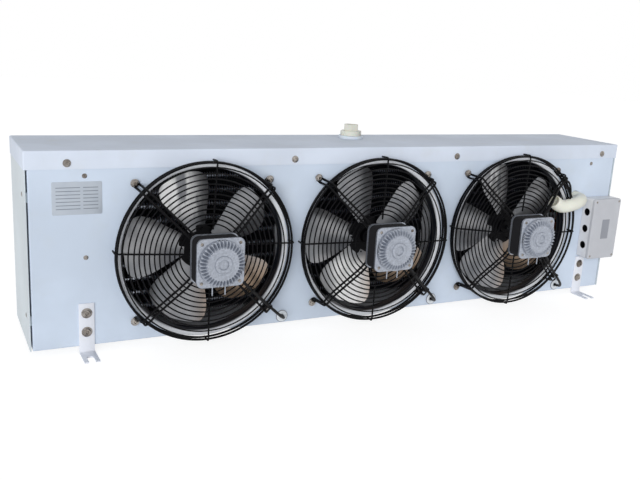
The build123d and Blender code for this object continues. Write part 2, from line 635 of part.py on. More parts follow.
def terminal_block():
    """Row of terminals on the floor of the junction box."""
    count = 5
    pitch = 12.0
    body = block(-9.0, 9.0, -count * pitch / 2, count * pitch / 2, 0.0, 16.0)
    for i in range(1, count):
        y = pitch * (i - count / 2)
        body -= block(-10.0, 10.0, y - 0.8, y + 0.8, 5.0, 20.0)
    return facing(BOX_X, BOX_Z, SEAT + BOX_WALL) * body


def nameplate():
    """Bare plate on the front panel."""
    plate = extrude(soft_rectangle(PLATE_WIDTH, PLATE_HEIGHT, 3.0, 1), 0.8)
    return facing(PLATE_X, BASE_Z + PLATE_MID) * plate


# ---- drain fitting ----------------------------------------------------------------------------
def drain_place():
    """Frame of the drain on the face of the pan."""
    return Pos(DRAIN_X, FRONT_Y + DRAIN_BACK, TOP_Z)


def drain_outlet():
    """Flanged tail that passes through the pan."""
    flange = prism(DRAIN_FLANGE_R, 12, -SHEET - 4.0, -SHEET)
    tail = prism(DRAIN_TAIL_R, 12, -SHEET - 4.0, DRAIN_WASHER + DRAIN_NUT + 6.0)
    return drain_place() * (flange + tail - prism(DRAIN_BORE_R - 1.0, 12, -20.0, 60.0))


def drain_washer():
    """Sealing washer on the pan."""
    ring = prism(DRAIN_WASHER_R, 16, 0, DRAIN_WASHER) - prism(DRAIN_TAIL_R + 0.5, 12, -1.0, 20.0)
    return drain_place() * ring


def drain_nut():
    """Ring nut with two lugs."""
    low = DRAIN_WASHER
    high = DRAIN_WASHER + DRAIN_NUT
    nut = prism(DRAIN_NUT_R - 3.0, 16, low, high)
    nut += block(-DRAIN_NUT_R, DRAIN_NUT_R, -6.0, 6.0, low, high)
    return drain_place() * (nut - prism(DRAIN_TAIL_R + 0.5, 12, -1.0, 60.0))


def drain_adapter():
    """Hexagonal adapter screwed on the tail, with the open thread for the drain line."""
    low = DRAIN_WASHER + DRAIN_NUT
    seat = low + 6.0 + SEAT
    body = prism(DRAIN_HEX / sqrt(3), 6, low, DRAIN_RISE)
    body -= prism(DRAIN_TAIL_R + 0.5, 12, low - 1.0, seat)
    return drain_place() * (body - disc(DRAIN_BORE_R, seat - 1.0, DRAIN_RISE + 1.0))


# ---- coil -------------------------------------------------------------------------------------
def coil_fins():
    """Pack of fins between the tube sheets, its faces cut by upright grooves."""
    half = COIL_HALF - TUBE_SHEET / 2 - SEAT
    front = FRONT_Y + COIL_FRONT + FIN_EDGE
    rear = FRONT_Y + COIL_FRONT + COIL_DEPTH - FIN_EDGE
    pitch = 2 * half / (FIN_GROOVES + 0.5)
    outline = [(half, rear), (-half, rear)]
    for i in range(FIN_GROOVES + 1):
        x = -half + pitch * i
        outline += [(x, front), (x + pitch / 2, front)]
        if i < FIN_GROOVES:
            outline += [(x + pitch / 2, front + 8.0), (x + pitch, front + 8.0)]
    pack = make_face(Polyline(*outline, close=True))
    return Pos(0, 0, BASE_Z + COIL_BOTTOM + FIN_EDGE) * extrude(pack, COIL_HEIGHT - 2 * FIN_EDGE)


def tube_sheet(side):
    """Plate at one end of the fins, from the roof sheet to the pan."""
    x = side * COIL_HALF
    return block(x - TUBE_SHEET / 2, x + TUBE_SHEET / 2, FRONT_Y + COIL_FRONT,
                 FRONT_Y + COIL_FRONT + COIL_DEPTH, FLOOR_TOP + SEAT, PANEL_TOP)


def return_bends():
    """Bends that join neighbouring tubes outside the tube sheets."""
    half = ROW_PITCH / 2
    bend = strip([(0, -half), (BEND_REACH, -half), (BEND_REACH, half), (0, half)], 2 * TUBE_R * 0.8,
                 2 * TUBE_R * 0.8)
    out = COIL_HALF + TUBE_SHEET / 2 + SEAT
    left = [Pos(-out, (ROWS[i] + ROWS[i + 1]) / 2, z) * Rot(0, 0, 180) * bend
            for i in (0, 2) for z in LAYERS]
    right = [Pos(out, (ROWS[1] + ROWS[2]) / 2, z) * bend for z in LAYERS]
    return left + right


def header(x, y, radius, stub_radius, stub_height):
    """Upright header with its pipe out through the rear cover, and a stub from each layer."""
    ends = TUBE_R + 12.0
    tube = prism(radius, 8, LAYERS[0] - ends, LAYERS[-1] + ends)
    tube = Pos(x, y, 0) * Rot(0, 0, 22.5) * tube
    inside = REAR_Y + 2 * SEAT - y
    rear = Pos(x, y, BASE_Z + stub_height) * Rot(-90, 0, 0)
    pipe = rear * prism(stub_radius + SWAGE, 10, 0, inside)
    pipe += rear * disc(stub_radius, inside, inside - 2 * SEAT + STUB_REACH)
    start = COIL_HALF + TUBE_SHEET / 2 + SEAT
    flat = x - radius * cos(pi / 8)
    stub = Rot(0, 90, 0) * prism(TUBE_R * 0.75, 4, 0, flat - start)
    return [tube + pipe] + [Pos(start, y, z) * stub for z in LAYERS]


# ---- small fasteners --------------------------------------------------------------------------
def pan_screws():
    """Screws through the walls of the drain pan."""
    z = TOP_Z - PAN_SCREW_DROP
    front = [facing(x, z, SHEET + SEAT) for x in PAN_SCREW_XS]
    rear = [Plane(origin=(x, REAR_Y, z), x_dir=(-1, 0, 0), z_dir=(0, 1, 0))
            for x in (PAN_SCREW_XS[0], PAN_SCREW_XS[-1])]
    return small_screws(front + rear, 8.0, 4.5)


def panel_screws():
    """Small screws on the front panel."""
    return small_screws([facing(x, BASE_Z + height) for x, height in PANEL_SCREWS], 5.0, 3.0)


def end_screws():
    """Screws that hold the end panels to the folds of the front panel."""
    places = [Plane(origin=(side * END_X, FRONT_Y + END_SCREW_BACK, BASE_Z + height),
                    x_dir=(0, side, 0), z_dir=(side, 0, 0))
              for side in (-1, 1) for height in END_SCREW_HEIGHTS]
    return small_screws(places, 5.5, 1.4)


def box_screws():
    """Screws at the corners of the junction box's lid."""
    across = BOX_WIDTH / 2 - 8.0
    up = BOX_HEIGHT / 2 - 8.0
    places = [facing(BOX_X + x, BOX_Z + z, BOX_DEPTH) for x in (-across, across) for z in (-up, up)]
    return small_screws(places, 3.2, 1.6)


# ---- assembly ---------------------------------------------------------------------------------
save("front_panel", front_panel())
save("inlet_rings", *[facing(x, FAN_Z) * inlet_ring() for x in FAN_XS])
save("end_panel_left", end_panel(-1))
save("end_panel_right", end_panel(1))
save("roof_panel", roof_sheet())
save("drain_pan", drain_pan())
save("pan_insulation", pan_insulation())
save("fan_partition_1", fan_partition((FAN_XS[0] + FAN_XS[1]) / 2))
save("fan_partition_2", fan_partition((FAN_XS[1] + FAN_XS[2]) / 2))

save("hanger_front_left", hanger(HANGER_XS[0], False))
save("hanger_front_right", hanger(HANGER_XS[1], False))
save("hanger_rear_left", hanger(HANGER_XS[0], True))
save("hanger_rear_right", hanger(HANGER_XS[1], True))
save("hanger_bolts", *hanger_bolts())

save("coil_fins", coil_fins())
save("tube_sheet_left", tube_sheet(-1))
save("tube_sheet_right", tube_sheet(1))
save("return_bends", *return_bends())
save("suction_header", *header(SUCTION_X, ROWS[0], SUCTION_R, SUCTION_STUB_R, SUCTION_STUB_HEIGHT))
save("liquid_header", *header(LIQUID_X, ROWS[3], LIQUID_R, LIQUID_STUB_R, LIQUID_STUB_HEIGHT))

save("drain_outlet", drain_outlet())
save("drain_washer", drain_washer())
save("drain_nut", drain_nut())
save("drain_adapter", drain_adapter())

for number, x in enumerate(FAN_XS, 1):
    centre = facing(x, FAN_Z)
    save(f"guard_{number}", *[centre * wire for wire in guard()])
    save(f"motor_stator_{number}", centre * motor_stator())
    save(f"motor_front_cap_{number}", centre * motor_front_cap())
    save(f"motor_rear_cap_{number}", centre * motor_rear_cap())
    save(f"motor_shaft_{number}", centre * motor_shaft())
    save(f"fan_hub_{number}", centre * fan_hub())
    save(f"fan_blades_{number}", *[centre * blade for blade in fan_blades()])

save("guard_screws", *guard_screws())
save("motor_screws", *motor_screws())
save("motor_leads", *motor_leads())
save("lead_grommets", *lead_grommets())
save("conduit_sleeve", conduit_sleeve())
save("sleeve_lead", sleeve_lead())
save("cable_ties", *cable_ties())

save("junction_box", junction_box())
save("junction_box_lid", junction_box_lid())
save("terminal_block", terminal_block())
save("box_screws", *box_screws())
save("nameplate", nameplate())
save("pan_screws", *pan_screws())
save("panel_screws", *panel_screws())
save("end_screws", *end_screws())
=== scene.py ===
import json
from math import pi, radians, sqrt

import bpy
import numpy as np
from mathutils import Matrix, Vector


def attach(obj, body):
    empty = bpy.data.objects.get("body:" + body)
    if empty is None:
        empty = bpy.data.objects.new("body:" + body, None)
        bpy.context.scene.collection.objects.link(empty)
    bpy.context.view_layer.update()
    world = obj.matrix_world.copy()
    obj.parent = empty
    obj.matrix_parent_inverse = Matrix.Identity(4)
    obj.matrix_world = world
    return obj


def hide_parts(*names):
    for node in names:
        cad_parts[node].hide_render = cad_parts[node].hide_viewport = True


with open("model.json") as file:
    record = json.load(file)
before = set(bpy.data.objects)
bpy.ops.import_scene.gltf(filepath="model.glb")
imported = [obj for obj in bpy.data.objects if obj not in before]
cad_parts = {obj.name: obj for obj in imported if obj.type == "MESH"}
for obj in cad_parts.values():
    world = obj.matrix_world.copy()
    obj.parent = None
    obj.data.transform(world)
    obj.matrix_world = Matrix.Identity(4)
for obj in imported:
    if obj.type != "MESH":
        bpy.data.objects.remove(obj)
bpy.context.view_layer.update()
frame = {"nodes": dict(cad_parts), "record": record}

# Looks of a walk-in unit cooler that stands upside down on its hanger feet. Lengths are in
# millimetres: X along the casing, Y from the fans to the coil, Z up.
MM = 0.001

# ---- places, as the construction has them ------------------------------------------------------
FRONT = -77.25             # face of the front panel
REAR = 154.75              # rear wall of the drain pan
CASE_REAR = 153.25
BASE = 15.0                # lower edge of the casing
TOP = 427.0                # face of the drain pan
PANEL_TOP = 417.5
END_X = 784.5
FRONT_HALF = 779.1
FAN_XS = (-422.0, 0.0, 422.0)
FAN_Z = 208.6
SHEET = 1.2
GUARD_SCREWS = 150.0
MOTOR_SCREWS = 41.5
GROMMET = (196.0, -176.6)  # from a fan's centre
HANGER_XS = (-672.0, 700.0)
HANGER_BOLTS = (47.0, 88.0)
LAYERS = [219.0 + 33.0 * (i - 5) for i in range(11)]
ROWS = [72.75 + 28.5 * (i - 1.5) for i in range(4)]
COIL_HALF = 650.0
BLADE_PLANE = -21.5        # middle of the blades' hub plate, forward of the panel
LID_CENTRE = (735.0, 197.0)
DRAIN = (18.0, 82.75)


# ---- finishes ----------------------------------------------------------------------------------
def tone(red, green, blue):
    """Screen colour turned into a shader's colour: each part is raised by the sRGB curve."""
    parts = [c / 12.92 if c <= 0.04045 else ((c + 0.055) / 1.055) ** 2.4 for c in (red, green, blue)]
    return (*parts, 1.0)


class Signal:
    """A socket's varying value, with arithmetic."""

    def __init__(self, finish, socket):
        self.finish, self.socket = finish, socket

    def _sum(self, operation, first, second):
        return self.finish.node("ShaderNodeMath", {"operation": operation}, (first, second))

    def __add__(self, other):
        return self._sum("ADD", self, other)

    def __sub__(self, other):
        return self._sum("SUBTRACT", self, other)

    def __rsub__(self, other):
        return self._sum("SUBTRACT", other, self)

    def __mul__(self, other):
        return self._sum("MULTIPLY", self, other)

    def __truediv__(self, other):
        return self._sum("DIVIDE", self, other)

    def __pow__(self, other):
        return self._sum("POWER", self, other)

    __radd__, __rmul__ = __add__, __mul__


class Finish:
    """A material with one main shader."""

    def __init__(self, name, **constants):
        self.material = bpy.data.materials.new(name)
        self.material.use_nodes = True
        self.tree = self.material.node_tree
        self.shader = next(n for n in self.tree.nodes if n.type == "BSDF_PRINCIPLED")
        for socket, value in constants.items():
            self.put(socket.replace("_", " "), value)

    def put(self, socket, value):
        """Set or link one socket of the main shader."""
        self.join(value, self.shader.inputs[socket])

    def join(self, value, socket):
        """Set a socket, or link it to a signal."""
        if isinstance(value, Signal):
            self.tree.links.new(value.socket, socket)
        else:
            socket.default_value = value

    def node(self, kind, settings, values, output=0):
        """Any other node: its settings come first, then the values and links of its sockets."""
        made = self.tree.nodes.new(kind)
        for setting, value in settings.items():
            if setting == "stops":
                ramp = made.color_ramp
                for element, (place, shade) in zip(ramp.elements, (value[0], value[-1])):
                    element.position, element.color = place, shade
                for place, shade in value[1:-1]:
                    ramp.elements.new(place).color = shade
            else:
                setattr(made, setting, value)
        pairs = values.items() if isinstance(values, dict) else enumerate(values)
        for socket, value in pairs:
            self.join(value, made.inputs[socket])
        return Signal(self, made.outputs[output])

    def place(self, stretch=(1.0, 1.0, 1.0)):
        """The point being shaded, in the part's own frame, scaled along each axis."""
        here = self.node("ShaderNodeTexCoord", {}, (), "Object")
        return self.node("ShaderNodeMapping", {}, {"Vector": here, "Scale": stretch})

    def part(self, axis, stretch=(1.0, 1.0, 1.0)):
        """One coordinate of the point being shaded."""
        return self.node("ShaderNodeSeparateXYZ", {}, (self.place(stretch),), "XYZ".index(axis))

    def noise(self, scale, detail=2.0, stretch=(1.0, 1.0, 1.0)):
        """Cloudy pattern from 0 to 1."""
        return self.node("ShaderNodeTexNoise", {},
                         {"Vector": self.place(stretch), "Scale": scale, "Detail": detail})

    def spread(self, signal, low, high, to_low=0.0, to_high=1.0):
        """A signal's range stretched onto another and held inside it."""
        return self.node("ShaderNodeMapRange", {"interpolation_type": "SMOOTHSTEP"},
                         {"Value": signal, "From Min": low, "From Max": high,
                          "To Min": to_low, "To Max": to_high})

    def mix(self, share, first, second):
        """Blend of two colours."""
        return self.node("ShaderNodeMix", {"data_type": "RGBA"}, {0: share, 6: first, 7: second}, 2)

    def grain(self, height, depth, strength=1.0):
        """Relief in millimetres from a height signal."""
        normal = self.node("ShaderNodeBump", {},
                           {"Strength": strength, "Distance": depth * MM, "Height": height})
        self.put("Normal", normal)


def shades(colour, spread):
    """A colour a little darker and a little lighter."""
    return tone(*[c * (1 - spread) for c in colour]), tone(*[min(1.0, c * (1 + spread)) for c in colour])


def powder_coat(name, colour, rough, peel=0.03, coat=0.0, dust=0.25, shine=0.5):
    """Painted sheet: soft clouds in the tone, faint orange peel, a little dust in the clouds."""
    finish = Finish(name, Metallic=0.0, Coat_Roughness=0.06, Specular_IOR_Level=shine)
    dark, light = shades(colour, 0.025)
    clouds = finish.spread(finish.noise(5.0, 4.0), 0.35, 0.68)
    dusty = tone(colour[0] * 0.97, colour[1] * 0.955, colour[2] * 0.92)
    finish.put("Base Color", finish.mix(finish.spread(finish.noise(19.0, 5.0), 0.5, 0.8) * dust,
                                        finish.mix(clouds, dark, light), dusty))
    finish.put("Roughness", finish.noise(45.0, 3.0) * 0.1 + (rough - 0.05))
    finish.put("Coat Weight", coat)
    finish.grain(finish.noise(700.0, 1.0), peel)
    return finish.material


def moulding(name, colour, rough, texture=0.02, scale=1400.0, glow=0.0, shine=0.5):
    """Moulded plastic or rubber: nearly even tone and a fine surface."""
    finish = Finish(name, Metallic=0.0, Subsurface_Weight=glow, Specular_IOR_Level=shine)
    dark, light = shades(colour, 0.03)
    finish.put("Base Color", finish.mix(finish.noise(28.0, 3.0), dark, light))
    finish.put("Roughness", finish.noise(90.0, 2.0) * 0.12 + (rough - 0.06))
    finish.grain(finish.noise(scale, 2.0), texture)
    return finish.material


def metal(name, colour, rough, stretch=(1.0, 1.0, 1.0), scale=300.0, relief=0.01, spread=0.05,
          stain=None, metallic=1.0):
    """Bare metal: streaks or grain along an axis, clouds in the gloss, and a stain if one is named."""
    finish = Finish(name, Metallic=metallic)
    dark, light = shades(colour, spread)
    streaks = finish.noise(scale, 3.0, stretch)
    base = finish.mix(streaks, dark, light)
    if stain:
        base = finish.mix(finish.spread(finish.noise(14.0, 5.0), 0.45, 0.72), base, tone(*stain))
    finish.put("Base Color", base)
    finish.put("Roughness", finish.noise(30.0, 4.0) * 0.14 + streaks * 0.06 + (rough - 0.1))
    finish.grain(streaks, relief)
    return finish.material


def ruled_plate(name):
    """Satin plate with eight dark blank rules 7.2 mm apart, each from 41 mm left of the middle to
    41 mm right of it, that stop at a bare column."""
    finish = Finish(name, Metallic=0.35, Roughness=0.38)
    across = (finish.part("X") / MM) - -686.0
    up = (finish.part("Z") / MM) - 331.0
    size_x = finish.node("ShaderNodeMath", {"operation": "ABSOLUTE"}, (across,))
    size_z = finish.node("ShaderNodeMath", {"operation": "ABSOLUTE"}, (up,))
    wave = finish.node("ShaderNodeMath", {"operation": "PINGPONG"}, (up, 3.6))
    rules = finish.spread(wave, 0.5, 1.0, 1.0, 0.0)
    inside = finish.spread(size_x, 41.0, 41.6, 1.0, 0.0) * finish.spread(size_z, 27.0, 27.5, 1.0, 0.0)
    column = finish.node("ShaderNodeMath", {"operation": "ABSOLUTE"}, (across - 9.0,))
    ink = rules * inside * finish.spread(column, 2.6, 3.0) * 0.7
    plain = finish.mix(finish.noise(60.0, 3.0), tone(0.70, 0.735, 0.78), tone(0.76, 0.785, 0.82))
    finish.put("Base Color", finish.mix(ink, plain, tone(0.30, 0.33, 0.38)))
    finish.grain(finish.noise(200.0, 2.0, (1.0, 1.0, 30.0)), 0.01)
    return finish.material


def inlet_paint(name):
    """White lip over a throat painted nearly black as painted shade for the shadow inside it: the change runs over 5
    mm.
    """
    finish = Finish(name, Metallic=0.0, Roughness=0.35)
    # painted shade: the throat behind the lip turns nearly black
    painted_throat_shade = finish.spread(finish.part("Y") / MM, FRONT - 20.0, FRONT - 14.5)
    finish.put("Base Color", finish.mix(painted_throat_shade, tone(0.93, 0.94, 0.96), tone(0.09, 0.10, 0.13)))
    finish.grain(finish.noise(700.0, 1.0), 0.03)
    return finish.material


def fin_sheet(name):
    """Aluminium fins in their plain tone at the rear, darkened toward the fans as painted shade of the dim coil
    chamber: the tone changes smoothly between 35 and 95 mm behind the middle of the casing."""
    finish = Finish(name, Metallic=0.6)
    streaks = finish.noise(90.0, 3.0, (1.0, 1.0, 6.0))
    plain_fin_tone = finish.mix(streaks, tone(0.50, 0.51, 0.54), tone(0.60, 0.61, 0.64))
    # painted shade: the fins fade to nearly black toward the fans
    rear = finish.spread(finish.part("Y") / MM, 35.0, 95.0)
    finish.put("Base Color", finish.mix(rear, tone(0.15, 0.155, 0.18), plain_fin_tone))
    finish.put("Roughness", streaks * 0.1 + 0.42)
    return finish.material


def grommet_rubber(name):
    """White rubber with a grey rim that is a painted shadow line: r = sqrt(x'^2 + z'^2) about the nearest
    grommet's centre, with x' = ((X + 1703) mod 422) - 211 and z' = Z - 32."""
    finish = Finish(name, Metallic=0.0)
    across = finish.node("ShaderNodeMath", {"operation": "MODULO"},
                         (finish.part("X") / MM + 1703.0, 422.0)) - 211.0
    up = finish.part("Z") / MM - (FAN_Z + GROMMET[1])
    radius = (across * across + up * up) ** 0.5
    # painted shadow: a grey line round the rim of each grommet
    rim = finish.spread(radius, 12.9, 13.7)
    finish.put("Base Color", finish.mix(rim, tone(0.86, 0.88, 0.90), tone(0.45, 0.46, 0.50)))
    finish.put("Roughness", finish.noise(90.0, 2.0) * 0.12 + 0.44)
    return finish.material


def box_plastic(name):
    """White outside, with painted shade in the cavity: the distance of a point from the middle of the box,
    across and up, tells whether it lies between the inner walls."""
    finish = Finish(name, Metallic=0.0)
    across = finish.node("ShaderNodeMath", {"operation": "ABSOLUTE"},
                         (finish.part("X") / MM - LID_CENTRE[0],))
    up = finish.node("ShaderNodeMath", {"operation": "ABSOLUTE"},
                     (finish.part("Z") / MM - LID_CENTRE[1],))
    # painted shade: the cavity between the inner walls is nearly black
    inside = finish.spread(across, 47.2, 47.6, 1.0, 0.0) * finish.spread(up, 82.7, 83.1, 1.0, 0.0)
    white = finish.mix(finish.noise(28.0, 3.0), tone(0.86, 0.86, 0.87), tone(0.89, 0.89, 0.90))
    finish.put("Base Color", finish.mix(inside, white, tone(0.05, 0.05, 0.06)))
    finish.put("Roughness", finish.noise(90.0, 2.0) * 0.12 + 0.36)
    finish.grain(finish.noise(1400.0, 2.0), 0.02)
    return finish.material


def blade_sheet(name):
    """Rolled sheet. The clouds of tone lie about each fan's centre: x' = ((X + 1477) mod 422) - 211
    and z' = Z - 208.6. It carries a painted highlight toward the upper left, or the lower left on the
    middle fan, is grey elsewhere and carries a painted tan reflection toward the bottom."""
    finish = Finish(name, Metallic=0.75)
    whole = finish.part("X") / MM
    across = finish.node("ShaderNodeMath", {"operation": "MODULO"}, (whole + 1477.0, 422.0)) - 211.0
    up = finish.part("Z") / MM - FAN_Z
    side = finish.node("ShaderNodeMath", {"operation": "ABSOLUTE"}, (whole,))
    middle = finish.spread(side, 205.0, 215.0, 1.0, 0.0)
    streaks = finish.noise(160.0, 3.0, (1.0, 0.15, 1.0))
    clouds = finish.spread(finish.noise(16.0, 3.0), 0.3, 0.7)
    grey = finish.mix(clouds, tone(0.55, 0.56, 0.58), tone(0.70, 0.70, 0.71))
    # painted highlight: pale bands toward the upper left, or toward the lower left on the middle fan
    high = finish.spread(up, 50.0, 90.0) * finish.spread(across, 30.0, -10.0)
    low = finish.spread(up, -40.0, -80.0) * finish.spread(across, 30.0, -10.0) \
        * finish.spread(across, -95.0, -60.0)
    bands = finish.spread(finish.noise(22.0, 2.0, (1.0, 1.0, 0.4)), 0.38, 0.5)
    painted_highlight = high * bands * (1.0 - middle) + low * middle
    # painted reflection: tan toward the bottom and the right of each fan
    painted_tan_reflection = finish.spread(up, 10.0, -90.0) * finish.spread(across, -30.0, 40.0)
    base = finish.mix(painted_highlight, grey, tone(0.98, 0.98, 0.98))
    finish.put("Base Color", finish.mix(painted_tan_reflection * 0.8, base, tone(0.74, 0.62, 0.50)))
    finish.put("Roughness", streaks * 0.06 + 0.28)
    finish.grain(streaks, 0.01)
    return finish.material


FINISHES = {
    "panel_white": powder_coat("White powder coat", (0.80, 0.845, 0.905), 0.42),
    "roof_steel": powder_coat("Plain painted steel", (0.72, 0.73, 0.75), 0.5),
    "pan_white": powder_coat("Glossy white enamel", (0.84, 0.87, 0.92), 0.5, 0.02, 0.0, 0.4, 0.1),
    "foam": moulding("Grey insulation foam", (0.16, 0.16, 0.17), 0.9, 0.2, 500.0),
    "bracket_steel": powder_coat("White bracket paint", (0.89, 0.90, 0.93), 0.4, 0.05),
    "bright_screw": metal("Zinc-plated screw", (0.55, 0.53, 0.51), 0.2, scale=170.0,
                          relief=0.3, spread=0.5, stain=(0.35, 0.31, 0.28)),
    "fin_aluminium": fin_sheet("Fin sheet"),
    "copper": metal("Copper tube", (0.74, 0.45, 0.30), 0.32, scale=120.0,
                    stain=(0.45, 0.27, 0.19)),
    "white_plastic": moulding("White moulded fitting", (0.84, 0.83, 0.785), 0.38, glow=0.1),
    "washer_white": moulding("Soft white rubber", (0.82, 0.84, 0.87), 0.5, glow=0.1),
    "guard_black": powder_coat("Black wire coating", (0.02, 0.02, 0.03), 0.5, 0.03, 0.0, 0.1, 0.15),
    "motor_black": powder_coat("Black motor lacquer", (0.03, 0.03, 0.05), 0.4, 0.05, 0.0, 0.2, 0.2),
    "cast_aluminium": metal("Die-cast aluminium", (0.63, 0.65, 0.69), 0.36, scale=260.0,
                            relief=0.2, metallic=0.75, spread=0.22),
    "shaft_steel": metal("Ground steel", (0.60, 0.61, 0.63), 0.25, (1.0, 0.05, 1.0), 800.0),
    "blade_aluminium": blade_sheet("Blade sheet"),
    "black_rubber": moulding("Black cable jacket", (0.03, 0.03, 0.035), 0.5, 0.03, 600.0,
                             shine=0.2),
    "black_plastic": moulding("Black tie plastic", (0.03, 0.03, 0.035), 0.4, shine=0.2),
    "cream_plastic": moulding("Cream sleeve plastic", (0.93, 0.92, 0.865), 0.42, 0.05, 350.0, 0.05),
    "lid_grey": moulding("Grey lid plastic", (0.74, 0.745, 0.765), 0.45, 0.05, 900.0),
    "plate_silver": ruled_plate("Ruled plate"),
}
LABEL = moulding("Bare label", (0.56, 0.57, 0.60), 0.4)
INLET = inlet_paint("Inlet paint")
# The front's white powder coat again, toned less blue as painted light for the side panels' different lighting.
SIDE_LIT_COAT = powder_coat("White end paint", (0.79, 0.825, 0.845), 0.42)
BOX = box_plastic("Box plastic")
GROMMETS = grommet_rubber("Grommet rubber")


# ---- surfaces ----------------------------------------------------------------------------------
class Skin:
    """Points in millimetres and the faces between them, kept in blocks of faces with as many
    corners as each other."""

    def __init__(self, points, faces):
        self.points, self.faces = points, faces

    def at(self, placing):
        """The same skin moved by a 4 x 4 placing."""
        return Skin(self.points @ placing[:3, :3].T + placing[:3, 3], self.faces)


def together(skins):
    """Several skins as one, each keeping its own points."""
    skins = list(skins)
    starts = np.cumsum([0] + [len(s.points) for s in skins])
    return Skin(np.vstack([s.points for s in skins]),
                [block + start for s, start in zip(skins, starts) for block in s.faces])


def outward(skin):
    """Skin whose closed surface faces outward. The volume inside is a sixth of the sum over fans of
    triangles a, b, c of a . (b x c); if that is negative, every face is reversed."""
    volume = 0.0
    for block in skin.faces:
        corner = skin.points[block]
        volume += np.sum(corner[:, :1] * np.cross(corner[:, 1:-1], corner[:, 2:]))
    return skin if volume > 0 else Skin(skin.points, [block[:, ::-1] for block in skin.faces])


def lattice(points, round_rows=False, round_columns=True, ends=False):
    """Surface through a table of points: each face has the corners (i, j), (i, j+1), (i+1, j+1) and
    (i+1, j), counted round where rows or columns close on themselves; ends closes it with one flat
    face over the first row and one over the last."""
    rows, columns = points.shape[:2]
    i = np.arange(rows if round_rows else rows - 1)[:, None]
    j = np.arange(columns if round_columns else columns - 1)[None, :]
    below, beside = (i + 1) % rows, (j + 1) % columns
    corners = [i * columns + j, i * columns + beside, below * columns + beside, below * columns + j]
    faces = [np.stack(corners, -1).reshape(-1, 4)]
    if ends:
        faces += [np.arange(columns)[None, ::-1], np.arange(columns)[None] + (rows - 1) * columns]
    return outward(Skin(points.reshape(-1, 3), faces))


def turned(profile, sides=48, ring=False):
    """Round form about local Z through (radius, height) points: each point goes round as
    (r cos a, r sin a, h). A ring's profile closes on itself; any other is closed by flat ends."""
    radius, height = np.asarray(profile, float).T
    turn = np.arange(sides) * 2 * pi / sides
    points = np.stack([radius[:, None] * np.cos(turn), radius[:, None] * np.sin(turn),
                       np.repeat(height[:, None], sides, 1)], -1)
    return lattice(points, round_rows=ring, ends=not ring)


def circle(radius, sides=10):
    """Outline of a circle: (r cos a, r sin a)."""
    turn = np.arange(sides) * 2 * pi / sides
    return radius * np.stack([np.cos(turn), np.sin(turn)], -1)


def round_rectangle(width, height, corner, steps=6):
    """Outline of a rectangle with round corners, as a function of its inset: quarter circles of
    radius corner - inset about the corner centres of the inset rectangle."""
    turn = (np.arange(4)[:, None] + np.linspace(0, 1, steps)[None]).ravel() * pi / 2
    side = np.repeat([[1, 1], [-1, 1], [-1, -1], [1, -1]], steps, 0)

    def outline(inset=0.0):
        radius = max(corner - inset, 0.05)
        middle = side * (np.array([width, height]) / 2 - inset - radius)
        return middle + radius * np.stack([np.cos(turn), np.sin(turn)], -1)
    return outline


def moulded(outline, layers, ring=False):
    """Solid about local Z whose cross-section is an outline, inset as each (inset, height) says."""
    rows = [np.column_stack([outline(inset), np.full(len(outline(inset)), height)])
            for inset, height in layers]
    return lattice(np.array(rows), round_rows=ring, ends=not ring)


def tray(width, height, corner, depth, bend):
    """Folded sheet about local Z with its face at height 0 and its walls down to -depth. A fold is
    a quarter circle: inset b (1 - cos a), height -b (1 - sin a), with the inner one a sheet inside."""
    turn = np.linspace(0, pi / 2, 7)
    inner = bend - SHEET
    outside = [(bend * (1 - np.cos(a)), -bend * (1 - np.sin(a))) for a in turn]
    inside = [(SHEET + inner * (1 - np.cos(a)), -SHEET - inner * (1 - np.sin(a))) for a in turn]
    return moulded(round_rectangle(width, height, corner),
                   inside[::-1] + [(SHEET, -depth), (0.0, -depth)] + outside)


def soft(line, reach, steps=7):
    """Line with rounded corners: beside a corner c it follows (1-t)^2 a + 2 t (1-t) c + t^2 b
    between the points a and b, which lie at most a reach away and never past the middle."""
    line = [np.array(p, float) for p in line]
    t = np.linspace(0, 1, steps)[:, None]
    parts = [line[0][None]]
    for before, corner, after in zip(line, line[1:], line[2:]):
        a, b = [corner + (end - corner) * min(0.49, reach / np.linalg.norm(end - corner))
                for end in (before, after)]
        parts.append((1 - t) ** 2 * a + 2 * t * (1 - t) * corner + t ** 2 * b)
    return np.vstack(parts + [line[-1][None]])


def carried(path, outline, loop=False, reference=(0.31, 0.52, 0.8)):
    """Table of points of an outline carried along a path. At each point the path's direction d is
    that between its neighbours; the outline's first axis is d x reference and its second that x d."""
    path = np.asarray(path, float)
    way = np.roll(path, -1, 0) - np.roll(path, 1, 0) if loop else np.gradient(path, axis=0)
    way /= np.linalg.norm(way, axis=1, keepdims=True)
    aside = np.cross(way, reference)
    aside /= np.linalg.norm(aside, axis=1, keepdims=True)
    up = np.cross(aside, way)
    return (path[:, None] + outline[None, :, :1] * aside[:, None]
            + outline[None, :, 1:] * up[:, None])


def swept(path, outline, loop=False, reference=(0.31, 0.52, 0.8)):
    """Closed bar of a cross-section along a path, with flat ends or joined up in a loop."""
    return lattice(carried(path, outline, loop, reference), round_rows=loop, ends=not loop)


def block(low, high, bevel=0.4):
    """Box between two corners with softened edges: the outline is inset by the bevel at each end."""
    low, high = np.array(low, float), np.array(high, float)
    width, depth, height = high - low
    skin = moulded(round_rectangle(width, depth, bevel, 3),
                   [(bevel, 0.0), (bevel * 0.3, bevel * 0.3), (0.0, bevel), (0.0, height - bevel),
                    (bevel * 0.3, height - bevel * 0.3), (bevel, height)])
    return Skin(skin.points + [*(low + high)[:2] / 2, low[2]], skin.faces)


def placing(x, y, z, columns):
    """Placing whose local axes are the given columns."""
    made = np.eye(4)
    made[:3, :3] = np.array(columns, float).T
    made[:3, 3] = (x, y, z)
    return made


